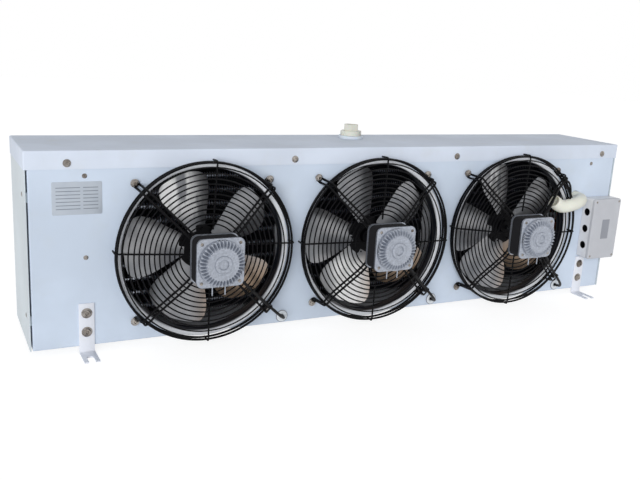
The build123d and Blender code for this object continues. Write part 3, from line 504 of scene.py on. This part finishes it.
def on_front(x, z, forward=0.0):
    """Placing on the front panel: local X along the casing, Y up, Z forward."""
    return placing(x, FRONT - forward, z, ((1, 0, 0), (0, 0, 1), (0, -1, 0)))


def upright(x, y, z):
    """Placing with local Z up."""
    return placing(x, y, z, ((1, 0, 0), (0, 1, 0), (0, 0, 1)))


def spun(angle, x=0.0, y=0.0):
    """Placing turned about local Z by degrees, then moved."""
    a = radians(angle)
    return placing(x, y, 0.0, ((np.cos(a), np.sin(a), 0), (-np.sin(a), np.cos(a), 0), (0, 0, 1)))


def corners(half):
    """Placings at the corners of a square."""
    return [spun(0, x, y) for x in (-half, half) for y in (-half, half)]


# ---- pieces ------------------------------------------------------------------------------------
def shown(name, mesh, slot, body, stands_for, finish=None, smooth=38.0):
    """Finished object from a mesh: faces smooth up to an angle, its finish, body and CAD nodes."""
    mesh.name = name
    mesh.materials.clear()
    mesh.materials.append(finish or FINISHES[slot])
    mesh.shade_smooth()
    mesh.set_sharp_from_angle(angle=radians(smooth))
    thing = bpy.data.objects.new(name, mesh)
    bpy.context.scene.collection.objects.link(thing)
    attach(thing, body)
    if stands_for:
        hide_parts(*stands_for)
    return thing


def mesh_of(skin):
    """Blender mesh of a skin, in metres."""
    mesh = bpy.data.meshes.new("skin")
    mesh.from_pydata((skin.points * MM).tolist(), [],
                     [face for faces in skin.faces for face in faces.tolist()])
    mesh.validate()
    return mesh


def cut(skin, cutters):
    """Mesh of a skin with other closed skins taken out of it."""
    things = []
    for part in (skin, together(cutters)):
        things.append(bpy.data.objects.new("cut", mesh_of(part)))
        bpy.context.scene.collection.objects.link(things[-1])
    take = things[0].modifiers.new("take", "BOOLEAN")
    take.object, take.operation, take.solver = things[1], "DIFFERENCE", "EXACT"
    take.use_self = True
    bpy.context.view_layer.update()
    seen = things[0].evaluated_get(bpy.context.evaluated_depsgraph_get())
    mesh = bpy.data.meshes.new_from_object(seen)
    for thing in things:
        old = thing.data
        bpy.data.objects.remove(thing)
        bpy.data.meshes.remove(old)
    return mesh


def piece(name, skin, slot, body="casing", nodes=None, cutters=(), **extra):
    """Object of a skin. It stands for the CAD node of its name unless other nodes are given."""
    mesh = cut(skin, cutters) if cutters else mesh_of(skin)
    return shown(name + "_skin", mesh, slot, body, (name,) if nodes is None else nodes, **extra)


def tube_mesh(route, radius, sides=4):
    """Round cable along a smooth curve that keeps to its route: a B-spline of order 3 through the
    first and last points and pulled by those between."""
    curve = bpy.data.curves.new("route", "CURVE")
    curve.dimensions = "3D"
    spline = curve.splines.new("NURBS")
    spline.points.add(len(route) - 1)
    spline.points.foreach_set("co", np.column_stack([route, np.full(len(route), 1 / MM)]).ravel() * MM)
    spline.order_u, spline.use_endpoint_u, spline.resolution_u = 3, True, 16
    curve.bevel_depth, curve.bevel_resolution, curve.use_fill_caps = radius * MM, sides, True
    thing = bpy.data.objects.new("route", curve)
    bpy.context.scene.collection.objects.link(thing)
    bpy.context.view_layer.update()
    mesh = bpy.data.meshes.new_from_object(
        thing.evaluated_get(bpy.context.evaluated_depsgraph_get()))
    bpy.data.objects.remove(thing)
    bpy.data.curves.remove(curve)
    return mesh


def joined(meshes):
    """One mesh out of several, each closed in itself."""
    skins = []
    for mesh in meshes:
        points = np.zeros(len(mesh.vertices) * 3)
        mesh.vertices.foreach_get("co", points)
        sizes = np.zeros(len(mesh.polygons), int)
        mesh.polygons.foreach_get("loop_total", sizes)
        loops = np.zeros(len(mesh.loops), int)
        mesh.loops.foreach_get("vertex_index", loops)
        faces = np.split(loops, np.cumsum(sizes)[:-1])
        blocks = [np.array([f for f in faces if len(f) == size]) for size in sorted(set(sizes))]
        skins.append(outward(Skin(points.reshape(-1, 3) / MM, blocks)))
        bpy.data.meshes.remove(mesh)
    return together(skins)


def domed_screw(radius, height, foot=0.0, slot=True):
    """Screw head with a flange, a dome and a shallow round recess in its crown."""
    rise = height - foot
    profile = [(radius * 0.96, foot), (radius, foot + rise * 0.08), (radius, foot + rise * 0.16),
               (radius * 0.94, foot + rise * 0.24), (radius * 0.80, foot + rise * 0.34),
               (radius * 0.76, foot + rise * 0.5), (radius * 0.66, foot + rise * 0.74),
               (radius * 0.50, foot + rise * 0.90), (radius * 0.34, height)]
    if slot:
        profile += [(radius * 0.28, height - rise * 0.06), (radius * 0.2, height - rise * 0.3)]
    return turned(profile, 28)


# ---- casing ------------------------------------------------------------------------------------
def casing():
    """Front panel, inlet rings, end panels and drain pan."""
    hole = turned([(180.4, -8.0), (180.4, 8.0)], 128)
    small = turned([(10.2, -8.0), (10.2, 8.0)], 32)
    cutters = [hole.at(on_front(x, FAN_Z)) for x in FAN_XS]
    cutters += [small.at(on_front(x + GROMMET[0], FAN_Z + GROMMET[1])) for x in FAN_XS]
    cutters.append(turned([(18.6, -8.0), (18.6, 8.0)], 48).at(on_front(650.0, 282.0)))
    panel = tray(2 * FRONT_HALF, PANEL_TOP - BASE, 2.0, 56.0, 3.0)
    piece("front_panel", panel.at(on_front(0.0, (PANEL_TOP + BASE) / 2)), "panel_white",
          cutters=cutters)

    flare = soft([(178.0, -2.7), (178.3, 2.0), (179.8, 12.0), (182.6, 19.4), (186.4, 21.8),
                  (190.6, 22.4)], 5.0, 5)
    back = flare[::-1] + [SHEET, 0.0]
    flange = [(179.4, -1.5), (185.6, -1.5), (185.9, -2.1), (185.6, -2.7)]
    ring = turned(np.vstack([flare, back[:-1], flange]), 144, ring=True)
    piece("inlet_rings", together(ring.at(on_front(x, FAN_Z)) for x in FAN_XS), "panel_white",
          finish=INLET)

    for side, name in ((-1, "end_panel_left"), (1, "end_panel_right")):
        turn = np.linspace(0, pi, 9)
        outside = [(END_X, CASE_REAR), *[(END_X - 1.2 + 1.2 * np.cos(a), FRONT + 1.2 - 1.2 * np.sin(a))
                                         for a in turn]]
        inside = [(END_X - 2.4, FRONT + 12.0), (END_X - SHEET, FRONT + 12.0),
                  (END_X - SHEET, CASE_REAR - SHEET), (COIL_HALF, CASE_REAR - SHEET),
                  (COIL_HALF, CASE_REAR)]
        plan = np.array(outside + inside) * [side, 1]
        levels = (BASE + 0.3, PANEL_TOP)
        wall = lattice(np.array([np.column_stack([plan, np.full(len(plan), z)]) for z in levels]),
                       ends=True)
        tabs = [block((min(side * (FRONT_HALF + 0.3), side * (END_X - 0.6)), FRONT + 4.0, z - 10.0),
                      (max(side * (FRONT_HALF + 0.3), side * (END_X - 0.6)), FRONT + 52.0, z + 10.0))
                for z in (80.0, 334.0)]
        bores = []
        if side > 0:
            behind = ((1, 0, 0), (0, 0, -1), (0, 1, 0))
            bores = [turned([(r, -6.0), (r, 6.0)], 40).at(placing(x, CASE_REAR, z, behind))
                     for x, z, r in ((712.0, 165.0, 13.1), (686.0, 245.0, 8.4))]
        piece(name, together([wall, *tabs]), "panel_white", cutters=bores, finish=SIDE_LIT_COAT)

    pan = tray(1572.0, 233.5, 3.4, 37.5, 3.0).at(upright(0.0, (REAR + FRONT - 1.5) / 2, TOP))
    bore = turned([(15.4, -9.0), (15.4, 9.0)], 48).at(upright(*DRAIN, TOP))
    piece("drain_pan", pan, "pan_white", cutters=[bore])


def hangers():
    """Straps bent into slotted feet, and their bolts."""
    line = soft([(1.5, 94.0), (1.5, -13.5), (60.0, -13.5)], 7.0, 9)
    path = np.column_stack([line, np.zeros(len(line))])
    strap = swept(path, round_rectangle(3.0, 32.0, 0.7, 3)(), reference=(0, 0, 1))
    slot = soft([(70.0, 7.0), (31.0, 7.0), (31.0, -7.0), (70.0, -7.0)], 7.0, 12)
    gap = lattice(np.array([np.column_stack([slot[:, 0], np.full(len(slot), h), slot[:, 1]])
                            for h in (-20.0, -8.0)]), ends=True)
    bolt = domed_screw(11.0, 9.5, 3.0)
    bolts = []
    for x, end in zip(HANGER_XS, ("left", "right")):
        for toward, side in ((-1, "front"), (1, "rear")):
            y = FRONT if toward < 0 else CASE_REAR
            frame_here = placing(x, y, BASE, ((0, toward, 0), (0, 0, 1), (toward, 0, 0)))
            piece(f"hanger_{side}_{end}", strap.at(frame_here), "bracket_steel",
                  cutters=[gap.at(frame_here)])
            face = ((-toward, 0, 0), (0, 0, 1), (0, toward, 0))
            bolts += [bolt.at(placing(x, y, z, face)) for z in HANGER_BOLTS]
    piece("hanger_bolts", together(bolts), "bright_screw")


def fasteners():
    """Small screws on the casing."""
    front = [domed_screw(8.0, 4.5, 0.3).at(on_front(x, 402.0, 1.5))
             for x in (-704.6, -210.8, 234.9, 729.0)]
    behind = ((-1, 0, 0), (0, 0, 1), (0, 1, 0))
    front += [domed_screw(8.0, 4.5, 0.3).at(placing(x, REAR, 402.0, behind)) for x in (-704.6, 729.0)]
    piece("pan_screws", together(front), "bright_screw")
    piece("panel_screws", together(domed_screw(5.0, 3.0, 0.3).at(on_front(x, z)) for x, z in
                                   ((-671.0, 375.7), (-671.0, 206.8), (695.0, 375.0))), "bright_screw")
    ends = [domed_screw(5.5, 1.4, 0.3).at(placing(side * END_X, FRONT + 45.0, z,
                                                  ((0, side, 0), (0, 0, 1), (side, 0, 0))))
            for side in (-1, 1) for z in (80.0, 334.0)]
    piece("end_screws", together(ends), "bright_screw")
    piece("box_screws", together(domed_screw(3.2, 1.6, 0.0).at(on_front(LID_CENTRE[0] + x,
                                                                        LID_CENTRE[1] + z, 44.0))
                                 for x in (-41.5, 41.5) for z in (-77.0, 77.0)), "bright_screw")
    screw = domed_screw(9.0, 10.8, 5.3)
    piece("guard_screws", together(screw.at(on_front(x, FAN_Z) @ place) for x in FAN_XS
                                   for place in corners(GUARD_SCREWS)), "bright_screw")
    under = turned([(5.4, 62.7), (6.0, 63.2), (6.0, 66.7), (2.4, 66.7), (2.4, 76.0)], 24)
    through = domed_screw(3.6, 120.4, 118.0)
    piece("motor_screws", together(part.at(on_front(x, FAN_Z) @ place) for x in FAN_XS
                                   for place in corners(MOTOR_SCREWS) for part in (under, through)),
          "bright_screw")


# ---- fans --------------------------------------------------------------------------------------
RING_PLANE = 46.0          # forward of the panel
# sideways lean of each fan's spokes where they cross the rim and where they end under the motor:
# right, top, left and bottom spoke, each to its own left as it runs outward
SPOKES = {1: ((11.5, 16.0), (-13.7, -7.9), (-11.7, -3.0), (2.4, 2.0)),
          2: ((-10.0, -8.0), (-8.8, -5.5), (-5.4, -2.0), (-3.0, 0.0)),
          3: ((-12.0, -8.6), (-14.7, -9.4), (-17.0, -1.3), (-6.0, -1.0))}


def guard(number):
    """Wire guard: flat rings on four spokes that bend down outside the rim, three rim rings, and
    four arms, each a closed loop of wire from its screw on the panel over the rings to its screw
    under the motor."""
    wires = []
    rings = [(radius, RING_PLANE, 3.2) for radius in (66.0, 76.7, 87.3, 98.0, 108.7, 119.3, 130.0,
                                                      140.7, 151.3, 162.0, 174.0, 186.5)]
    rings += [(194.8, 26.8, 5.2), (195.6, 39.5, 5.2), (187.5, 8.0, 3.2)]
    for radius, height, wire in rings:
        path = np.column_stack([circle(radius, 112), np.full(112, height)])
        wires.append(swept(path, circle(wire / 2, 8), True, (0, 0, 1)))
    side = soft([(212.1, 2.8), (202.0, 2.8), (200.5, RING_PLANE + 4.1), (165.0, RING_PLANE + 4.1),
                 (84.0, 69.2), (58.7, 69.2)], 9.0)
    bow = np.linspace(-pi / 2, pi / 2, 10)[1:-1]
    half = 5.25
    inner = np.column_stack([58.7 - half * np.cos(bow), -half * np.sin(bow), np.full(8, 69.2)])
    outer = np.column_stack([212.1 + half * np.cos(bow), half * np.sin(bow), np.full(8, 2.8)])
    arm = swept(np.vstack([np.insert(side, 1, half, 1), inner,
                           np.insert(side[::-1], 1, -half, 1), outer]), circle(2.5, 10), True)
    for quarter, (rim, end) in enumerate(SPOKES[number]):
        reach = np.array([198.4, 199.6, 53.5])
        slope = (rim - end) / (186.0 - 66.0)
        beside = end + slope * (reach - 66.0)
        along_it = np.sqrt(reach ** 2 - beside ** 2)
        line = soft(np.column_stack([along_it, beside, (15.0, RING_PLANE - 3.6, RING_PLANE - 3.6)]),
                    6.0)
        spoke = swept(line, circle(2.0, 10))
        wires += [spoke.at(spun(90 * quarter)), arm.at(spun(90 * quarter + 45))]
    return together(wires)


def motor():
    """Rear cap, stator and front cap of a motor."""
    face = round_rectangle(104.0, 104.0, 14.0, 8)
    rear = [moulded(face, [(1.6, 72.0), (0.5, 72.4), (0.0, 73.4), (0.0, 77.0)]),
            turned([(8.0, 46.0), (28.0, 46.0), (29.6, 46.6), (30.5, 48.4), (40.6, 69.0),
                    (42.0, 71.0), (42.0, 72.5)], 56)]
    rear += [block((-1.2, 27.0, 60.0), (1.2, 36.0, 72.2)).at(spun(360 / 8 * k)) for k in range(8)]
    sheets = [(0.0 if k % 2 else 0.55, 77.0 + 0.5 * k) for k in range(71)]
    stator = moulded(round_rectangle(100.0, 100.0, 14.0, 8), sheets)
    flange = moulded(face, [(0.0, 112.0), (0.0, 116.2), (0.5, 117.4), (1.8, 118.0)])
    radius = np.array([50.2, 49.8, 48.4, 45.4, 41.0, 37.4, 35.4, 34.2, 33.0, 24.0, 21.0, 19.4, 18.8,
                       18.4, 17.2, 11.6, 10.6, 10.2, 9.2, 3.0])
    ridge = np.array([117.8, 126.6, 129.8, 131.6, 132.6, 133.2, 133.4, 133.2, 132.8, 131.2, 131.0,
                      131.6, 133.0, 135.2, 136.0, 136.0, 135.2, 131.6, 130.8, 130.8])
    valley = ridge - np.array([0, 4.4, 6.4, 7.0, 7.0, 6.4, 4.4, 0.8] + [0] * 12)
    ribs, steps = 36, 8
    angle = np.arange(ribs * steps) * 2 * pi / (ribs * steps)
    rib = (0.5 + 0.5 * np.cos(ribs * angle)) ** 0.8
    height = valley[:, None] + (ridge - valley)[:, None] * rib
    dome = lattice(np.stack([radius[:, None] * np.cos(angle), radius[:, None] * np.sin(angle),
                             height], -1), ends=True)
    down = ((0, 0, 1), (1, 0, 0), (0, 1, 0))
    pins = [turned([(0.9, -70.0), (1.4, -69.4), (1.4, -50.0)], 12).at(placing(x, 0.0, 115.0, down))
            for x in (-17.0, 11.0)]
    return together(rear), stator, together([flange, dome, *pins])


def blades(rest):
    """Five cambered blades. In the plan of a blade x runs out along its radius; its two edges are
    smooth curves through a few points. Its height is 13 (1 - ((s - 16) / 72)^2) - 12 across the
    flat sheet coordinate s, then the sheet is pitched 20 degrees about x."""
    lead = soft([(36.0, -20.0), (70.0, -31.0), (118.0, -48.0), (146.0, -46.0), (164.0, -26.0),
                 (171.0, 12.0)], 40.0, 9)
    trail = soft([(36.0, 20.0), (64.0, 38.0), (110.0, 71.0), (144.0, 80.0), (160.0, 62.0),
                  (171.0, 12.0)], 40.0, 9)
    out = 36.0 + 134.6 * np.sin(np.linspace(0, pi / 2, 40))
    low, high = np.interp(out, *lead.T), np.interp(out, *trail.T)
    share = np.linspace(0, 1, 25)[None]
    y = low[:, None] + (high - low)[:, None] * share
    pitch = radians(20.0)
    s = y / np.cos(pitch)
    for _ in range(12):
        lift = 12.2 * (1 - ((s - 16.0) / 72.0) ** 2) - 12.0
        s = (y + lift * np.sin(pitch)) / np.cos(pitch)
    z = s * np.sin(pitch) + lift * np.cos(pitch) + BLADE_PLANE
    x = np.repeat(out[:, None], y.shape[1], 1)
    faces = [np.stack([x, y, z + edge], -1) for edge in (0.8, -0.8)]
    blade = lattice(np.concatenate([faces[0], faces[1][:, ::-1]], 1), ends=True)
    return together(blade.at(spun(72 * k + rest)) for k in range(5))


def fans():
    """Guard, motor, shaft, hub and blades of each fan."""
    rear, stator, cap = motor()
    disc = [(18.0, -3.0), (46.0, -2.0), (48.4, -1.4), (48.6, 0.0), (48.4, 1.4), (46.0, 2.0),
            (20.0, 2.0), (18.0, 3.5)]
    hub = [turned([(6.1, -36.0), (16.6, -36.0), (18.0, -34.6)]
                  + [(radius, BLADE_PLANE + height) for radius, height in disc]
                  + [(18.0, -3.2), (16.8, -2.0), (6.1, -2.0)], 56, ring=True)]
    hub += [domed_screw(3.6, BLADE_PLANE + 4.4, BLADE_PLANE + 2.0, False).at(spun(72 * k + turn + 27.0) @ spun(0, 42.0))
            for k in range(5) for turn in (-12.0, 12.0)]
    shaft = turned([(5.0, -42.0), (6.0, -41.0), (6.0, 72.0)], 32)
    for number, x in enumerate(FAN_XS, 1):
        here, rotor = on_front(x, FAN_Z), f"fan_rotor_{number}"
        piece(f"guard_{number}", guard(number).at(here), "guard_black")
        piece(f"motor_rear_cap_{number}", rear.at(here), "cast_aluminium")
        piece(f"motor_stator_{number}", stator.at(here), "motor_black", smooth=20.0)
        piece(f"motor_front_cap_{number}", cap.at(here), "cast_aluminium", smooth=50.0)
        piece(f"motor_shaft_{number}", shaft.at(here), "shaft_steel", rotor)
        piece(f"fan_hub_{number}", together(hub).at(here), "guard_black", rotor)
        piece(f"fan_blades_{number}", blades(27.0).at(here), "blade_aluminium", rotor)


# ---- wiring ------------------------------------------------------------------------------------
def along(angle, reach, aside, forward):
    """Point in a fan's frame, given along a direction, to its left and forward."""
    a = radians(angle)
    return (reach * np.cos(a) - aside * np.sin(a), reach * np.sin(a) + aside * np.cos(a), forward)


def tie(angle, reach, low, high, left, right):
    """Strap round an arm and its cable."""
    outer = round_rectangle(left + right + 2.4, high - low + 2.4, 3.2, 5)
    strap = moulded(outer, [(0.0, -2.0), (0.0, 2.0), (1.2, 2.0), (1.2, -2.0)], ring=True)
    turn = placing(0.0, (left - right) / 2, (low + high) / 2, ((0, 1, 0), (0, 0, 1), (1, 0, 0)))
    return strap.at(spun(angle) @ placing(reach, 0, 0, np.eye(3)) @ turn)


def wiring():
    """Motor leads, grommets, ties, the sleeve at the junction box and the lead into it."""
    route = np.array([along(-45, 65.3, 5, 88), along(-45, 90, 5, 86), along(-45, 150, 6, 66),
                      along(-45, 205, 8, 57), along(-45, 238, 10, 45), (*GROMMET, 20.0),
                      (*GROMMET, -12.0)])
    leads = []
    for x in FAN_XS:
        here = on_front(x, FAN_Z)
        leads.append(tube_mesh(route @ here[:3, :3].T + here[:3, 3], 3.4))
    piece("motor_leads", joined(leads), "black_rubber")

    lip = turned([(4.9, -6.0), (9.4, -6.0), (9.4, 0.0), (13.2, 0.3), (14.4, 0.8), (14.7, 1.5),
                  (13.9, 2.4), (12.2, 3.0), (9.0, 3.2), (6.4, 2.9), (5.2, 2.2), (4.9, 1.2)], 48,
                 ring=True)
    piece("lead_grommets", together(lip.at(on_front(x + GROMMET[0], FAN_Z + GROMMET[1]))
                                    for x in FAN_XS), "washer_white", finish=GROMMETS)

    here = on_front(FAN_XS[-1], FAN_Z)
    route = np.array([along(45, 65.3, 4, 88), along(45, 90, 4, 86), along(45, 160, 4, 58),
                      along(45, 186, 3, 56.5), (143, 130, 58), (150, 108, 62), (148, 84, 64)])
    lead = tube_mesh(route @ here[:3, :3].T + here[:3, 3], 2.6)
    piece("sleeve_lead", joined([lead]), "black_rubber")

    route = soft([(650, 282, -6), (650, 282, 24), (620, 282, 51), (580, 277.5, 66),
                  (540, 272.5, 66), (512.7, 289.5, 66)], 26.0, 12)
    world = np.column_stack([route[:, 0], FRONT - route[:, 2], route[:, 1]])
    count = 40
    outer = carried(world, circle(17.2, count))
    inner = carried(world, circle(14.6, count))
    piece("conduit_sleeve", lattice(np.concatenate([outer, inner[::-1]]), round_rows=True),
          "cream_plastic")

    half = 8.05
    ties = [tie(-45, *spot, half).at(on_front(x, FAN_Z)) for x in FAN_XS
            for spot in ((119, 57.5, 80.5, 11.0), (190, 47.0, 62.8, 11.8))]
    ties.append(tie(45, 188, 47.0, 59.6, half, half).at(here))
    piece("cable_ties", together(ties), "black_plastic")


def junction_box():
    """Box with three cable entries, its lid with a bare label, and the blank nameplate."""
    here = on_front(*LID_CENTRE)
    shape = round_rectangle(99.0, 170.0, 7.0, 8)
    body = moulded(shape, [(1.2, 0.3), (0.3, 0.7), (0.0, 1.5), (0.0, 34.6), (2.5, 34.6), (2.5, 2.8)])
    bores = [turned([(10.5, -60.0), (10.5, -40.0)], 40).at(
        here @ placing(0.0, z - LID_CENTRE[1], 18.5, ((0, 1, 0), (0, 0, 1), (1, 0, 0))))
        for z in (148.5, 195.5, 242.5)]
    piece("junction_box", body.at(here), "white_plastic", cutters=bores, finish=BOX)
    lid = moulded(shape, [(0.4, 35.1), (0.0, 35.6), (0.0, 41.2), (0.5, 42.6), (1.6, 43.4),
                          (3.2, 43.75), (8.0, 43.8)])
    piece("junction_box_lid", lid.at(here), "lid_grey")
    label = moulded(round_rectangle(27.0, 55.0, 1.0, 4), [(0.0, 43.7), (0.0, 43.92), (0.2, 44.0)])
    piece("lid_label", label.at(on_front(736.5, 196.5)), "lid_grey", nodes=(), finish=LABEL)
    plate = moulded(round_rectangle(98.0, 67.0, 3.0, 6), [(0.0, 0.0), (0.0, 0.6), (0.3, 0.8)])
    piece("nameplate", plate.at(on_front(-686.0, 331.0)), "plate_silver")


def drain():
    """Washer, lugged ring nut and hexagonal adapter with an open thread."""
    here = upright(*DRAIN, TOP)
    washer = turned([(15.6, 0.0), (29.6, 0.0), (30.4, 0.8), (30.4, 6.6), (29.4, 7.6), (15.6, 7.6)],
                    72, ring=True)
    piece("drain_washer", washer.at(here), "washer_white")
    nut = [turned([(15.6, 7.6), (23.6, 7.6), (24.2, 8.2), (24.2, 18.8), (23.4, 19.6), (15.6, 19.6)],
                  64, ring=True)]
    nut += [block((x, -6.0, 7.7), (x + 7.5, 6.0, 19.5), 1.2) for x in (-27.5, 20.0)]
    piece("drain_nut", together(nut).at(here), "white_plastic")
    hexagon = circle(35.0 / sqrt(3.0), 6)
    edge = np.repeat(hexagon, 16, 0) + (np.roll(hexagon, -1, 0) - hexagon).repeat(16, 0) \
        * np.tile(np.arange(16) / 16, 6)[:, None]
    size = np.linalg.norm(edge, axis=1, keepdims=True)

    def cross_section(reach):
        """Hexagon cut by a circle where the circle is the smaller."""
        return edge * np.minimum(1.0, reach / size)
    levels = [(18.2, 19.6), (19.6, 20.4), (20.3, 21.2), (20.3, 33.4), (19.4, 34.4), (18.0, 35.0),
              (12.8, 35.0), (12.0, 34.0), (11.2, 33.2), (12.0, 32.4), (11.2, 31.6), (12.0, 30.8),
              (11.2, 30.0), (12.0, 29.2), (11.2, 28.4), (12.0, 27.6), (11.2, 26.8), (12.0, 25.9),
              (12.0, 19.6)]
    rows = np.array([np.column_stack([cross_section(reach), np.full(len(edge), height)])
                     for reach, height in levels])
    piece("drain_adapter", lattice(rows, round_rows=True).at(here), "white_plastic")


# ---- coil --------------------------------------------------------------------------------------
def coil():
    """Thin fins at even pitch, the tubes through them, their return bends and the headers."""
    pitch, count = 6.0, 215
    low = np.array([-0.3, FRONT + 95.0, 34.2])
    high = np.array([0.3, FRONT + 205.0, 403.8])
    pick = np.array([[0, 0, 0], [1, 0, 0], [1, 1, 0], [0, 1, 0], [0, 0, 1], [1, 0, 1], [1, 1, 1],
                     [0, 1, 1]])
    quads = np.array([[0, 3, 2, 1], [4, 5, 6, 7], [0, 1, 5, 4], [1, 2, 6, 5], [2, 3, 7, 6],
                      [3, 0, 4, 7]])
    one = np.where(pick, high, low)
    shift = (np.arange(count) - (count - 1) / 2) * pitch
    points = one[None] + shift[:, None, None] * np.array([1.0, 0.0, 0.0])
    faces = quads[None] + 8 * np.arange(count)[:, None, None]
    fins = outward(Skin(points.reshape(-1, 3), [faces.reshape(-1, 4)]))
    lie = ((0, 1, 0), (0, 0, 1), (1, 0, 0))
    tube = turned([(7.6, -COIL_HALF + 1.5), (7.6, COIL_HALF - 1.5)], 14)
    piece("coil_fins", fins, "fin_aluminium")
    piece("coil_tubes", together(tube.at(placing(0.0, y, z, lie)) for y in ROWS for z in LAYERS),
          "copper", nodes=(), finish=metal("Tube collar", (0.85, 0.87, 0.92), 0.3, scale=60.0))

    bend = swept(np.insert(soft([(0, -14.25), (30, -14.25), (30, 14.25), (0, 14.25)], 13.0, 8), 2,
                           0.0, 1), circle(6.3, 12), reference=(0, 0, 1))
    out = COIL_HALF + 1.3
    bends = [bend.at(placing(-out, (ROWS[i] + ROWS[i + 1]) / 2, z, ((-1, 0, 0), (0, -1, 0), (0, 0, 1))))
             for i in (0, 2) for z in LAYERS]
    bends += [bend.at(upright(out, (ROWS[1] + ROWS[2]) / 2, z)) for z in LAYERS]
    piece("return_bends", together(bends), "copper")
    back = ((1, 0, 0), (0, 0, -1), (0, 1, 0))
    for name, x, y, thick, stub, z in (("suction_header", 712.0, ROWS[0], 14.0, 11.1, 165.0),
                                       ("liquid_header", 686.0, ROWS[3], 8.0, 6.35, 245.0)):
        r = thick * 0.92
        parts = [turned([(r * 0.6, LAYERS[0] - 20.0), (r, LAYERS[0] - 18.0), (r, LAYERS[-1] + 18.0),
                         (r * 0.6, LAYERS[-1] + 20.0)], 32).at(upright(x, y, 0.0))]
        swage = REAR + 0.6 - y
        wide = (stub + 1.0) * 0.95
        pipe = turned([(wide, 0.0), (wide, swage - 1.0), (stub, swage), (stub, 199.75 - y),
                       (stub - 1.2, 199.75 - y), (stub - 1.2, 199.75 - y - 25.0)], 40)
        parts.append(pipe.at(placing(x, y, z, back)))
        feed = turned([(4.2, 0.0), (4.2, x - r - out)], 14)
        parts += [feed.at(placing(out, y, level, lie)) for level in LAYERS]
        piece(name, together(parts), "copper")


# ---- scene -------------------------------------------------------------------------------------
def paint_plain_nodes():
    """Give every CAD node the finish of its material slot in the record."""
    for entry in frame["record"]["subparts"]:
        thing = frame["nodes"][entry["node"]]
        for slot in thing.material_slots:
            slot.material = FINISHES[entry["material_slot"]]
        if not thing.material_slots:
            thing.data.materials.append(FINISHES[entry["material_slot"]])


def seen_directly(finish):
    """1 for rays from the camera and for those that metal or glass sends on, 0 for other light."""
    kinds = [finish.node("ShaderNodeLightPath", {}, (), f"Is {kind} Ray")
             for kind in ("Camera", "Glossy", "Transmission")]
    return finish.node("ShaderNodeMath", {"operation": "ADD", "use_clamp": True},
                       (kinds[0] + kinds[1], kinds[2]))


def surroundings():
    """Pale floor, soft light from the front left, white beyond, and the camera."""
    floor = bpy.data.objects.new("floor", mesh_of(Skin(
        np.array([[-9e3, -9e3, 0], [9e3, -9e3, 0], [9e3, 9e3, 0], [-9e3, 9e3, 0.0]]),
        [np.array([[0, 1, 2, 3]])])))
    bpy.context.scene.collection.objects.link(floor)
    finish = Finish("Pale floor", Roughness=0.9, Base_Color=(0.9, 0.9, 0.9, 1.0))
    seen = seen_directly(finish)
    glow = finish.node("ShaderNodeEmission", {}, {"Color": (1, 1, 1, 1), "Strength": 1.35})
    plain = Signal(finish, finish.shader.outputs[0])
    bright = finish.node("ShaderNodeMixShader", {}, {0: seen * 0.62, 1: plain, 2: glow})
    output = next(n for n in finish.tree.nodes if n.type == "OUTPUT_MATERIAL")
    finish.tree.links.new(bright.socket, output.inputs["Surface"])
    floor.data.materials.append(finish.material)

    scene = bpy.context.scene
    world = bpy.data.worlds.new("soft light")
    world.use_nodes = True
    scene.world = world
    sky = Finish.__new__(Finish)
    sky.tree = world.node_tree
    sky.tree.nodes.clear()
    beyond = sky.node("ShaderNodeBackground", {}, {"Color": (1, 1, 1, 1), "Strength": 1.0})
    light = sky.node("ShaderNodeBackground", {}, {"Color": (0.93, 0.96, 1.0, 1), "Strength": 0.45})
    seen = seen_directly(sky)
    both = sky.node("ShaderNodeMixShader", {}, (seen, light, beyond))
    end = sky.tree.nodes.new("ShaderNodeOutputWorld")
    sky.tree.links.new(both.socket, end.inputs["Surface"])

    sun = bpy.data.lights.new("soft sun", "SUN")
    sun.energy, sun.angle = 2.3, radians(35.0)
    lamp = bpy.data.objects.new("soft sun", sun)
    lamp.rotation_euler = Vector((0.75, 1.0, -0.22)).to_track_quat("-Z", "Y").to_euler()
    lamp.visible_glossy = False
    scene.collection.objects.link(lamp)

    camera = bpy.data.cameras.new("camera")
    camera.lens, camera.sensor_width = 44.2047, 36.0
    camera.clip_start, camera.clip_end = 0.05, 100.0
    eye = bpy.data.objects.new("camera", camera)
    right = Vector((0.89215138, -0.44829416, 0.0556621))
    up = -Vector((-0.06189451, -0.24336226, -0.96795861))
    back = -Vector((0.44747624, 0.86012043, -0.24486292))
    turn = Matrix((right, up, back)).transposed().to_4x4()
    eye.matrix_world = Matrix.Translation((-0.9602026, -1.662372, 0.660954)) @ turn
    scene.collection.objects.link(eye)
    scene.camera = eye
    scene.render.resolution_x, scene.render.resolution_y = 640, 480
    scene.view_settings.view_transform = "Standard"


casing()
hangers()
fasteners()
fans()
wiring()
junction_box()
drain()
coil()
paint_plain_nodes()
surroundings()
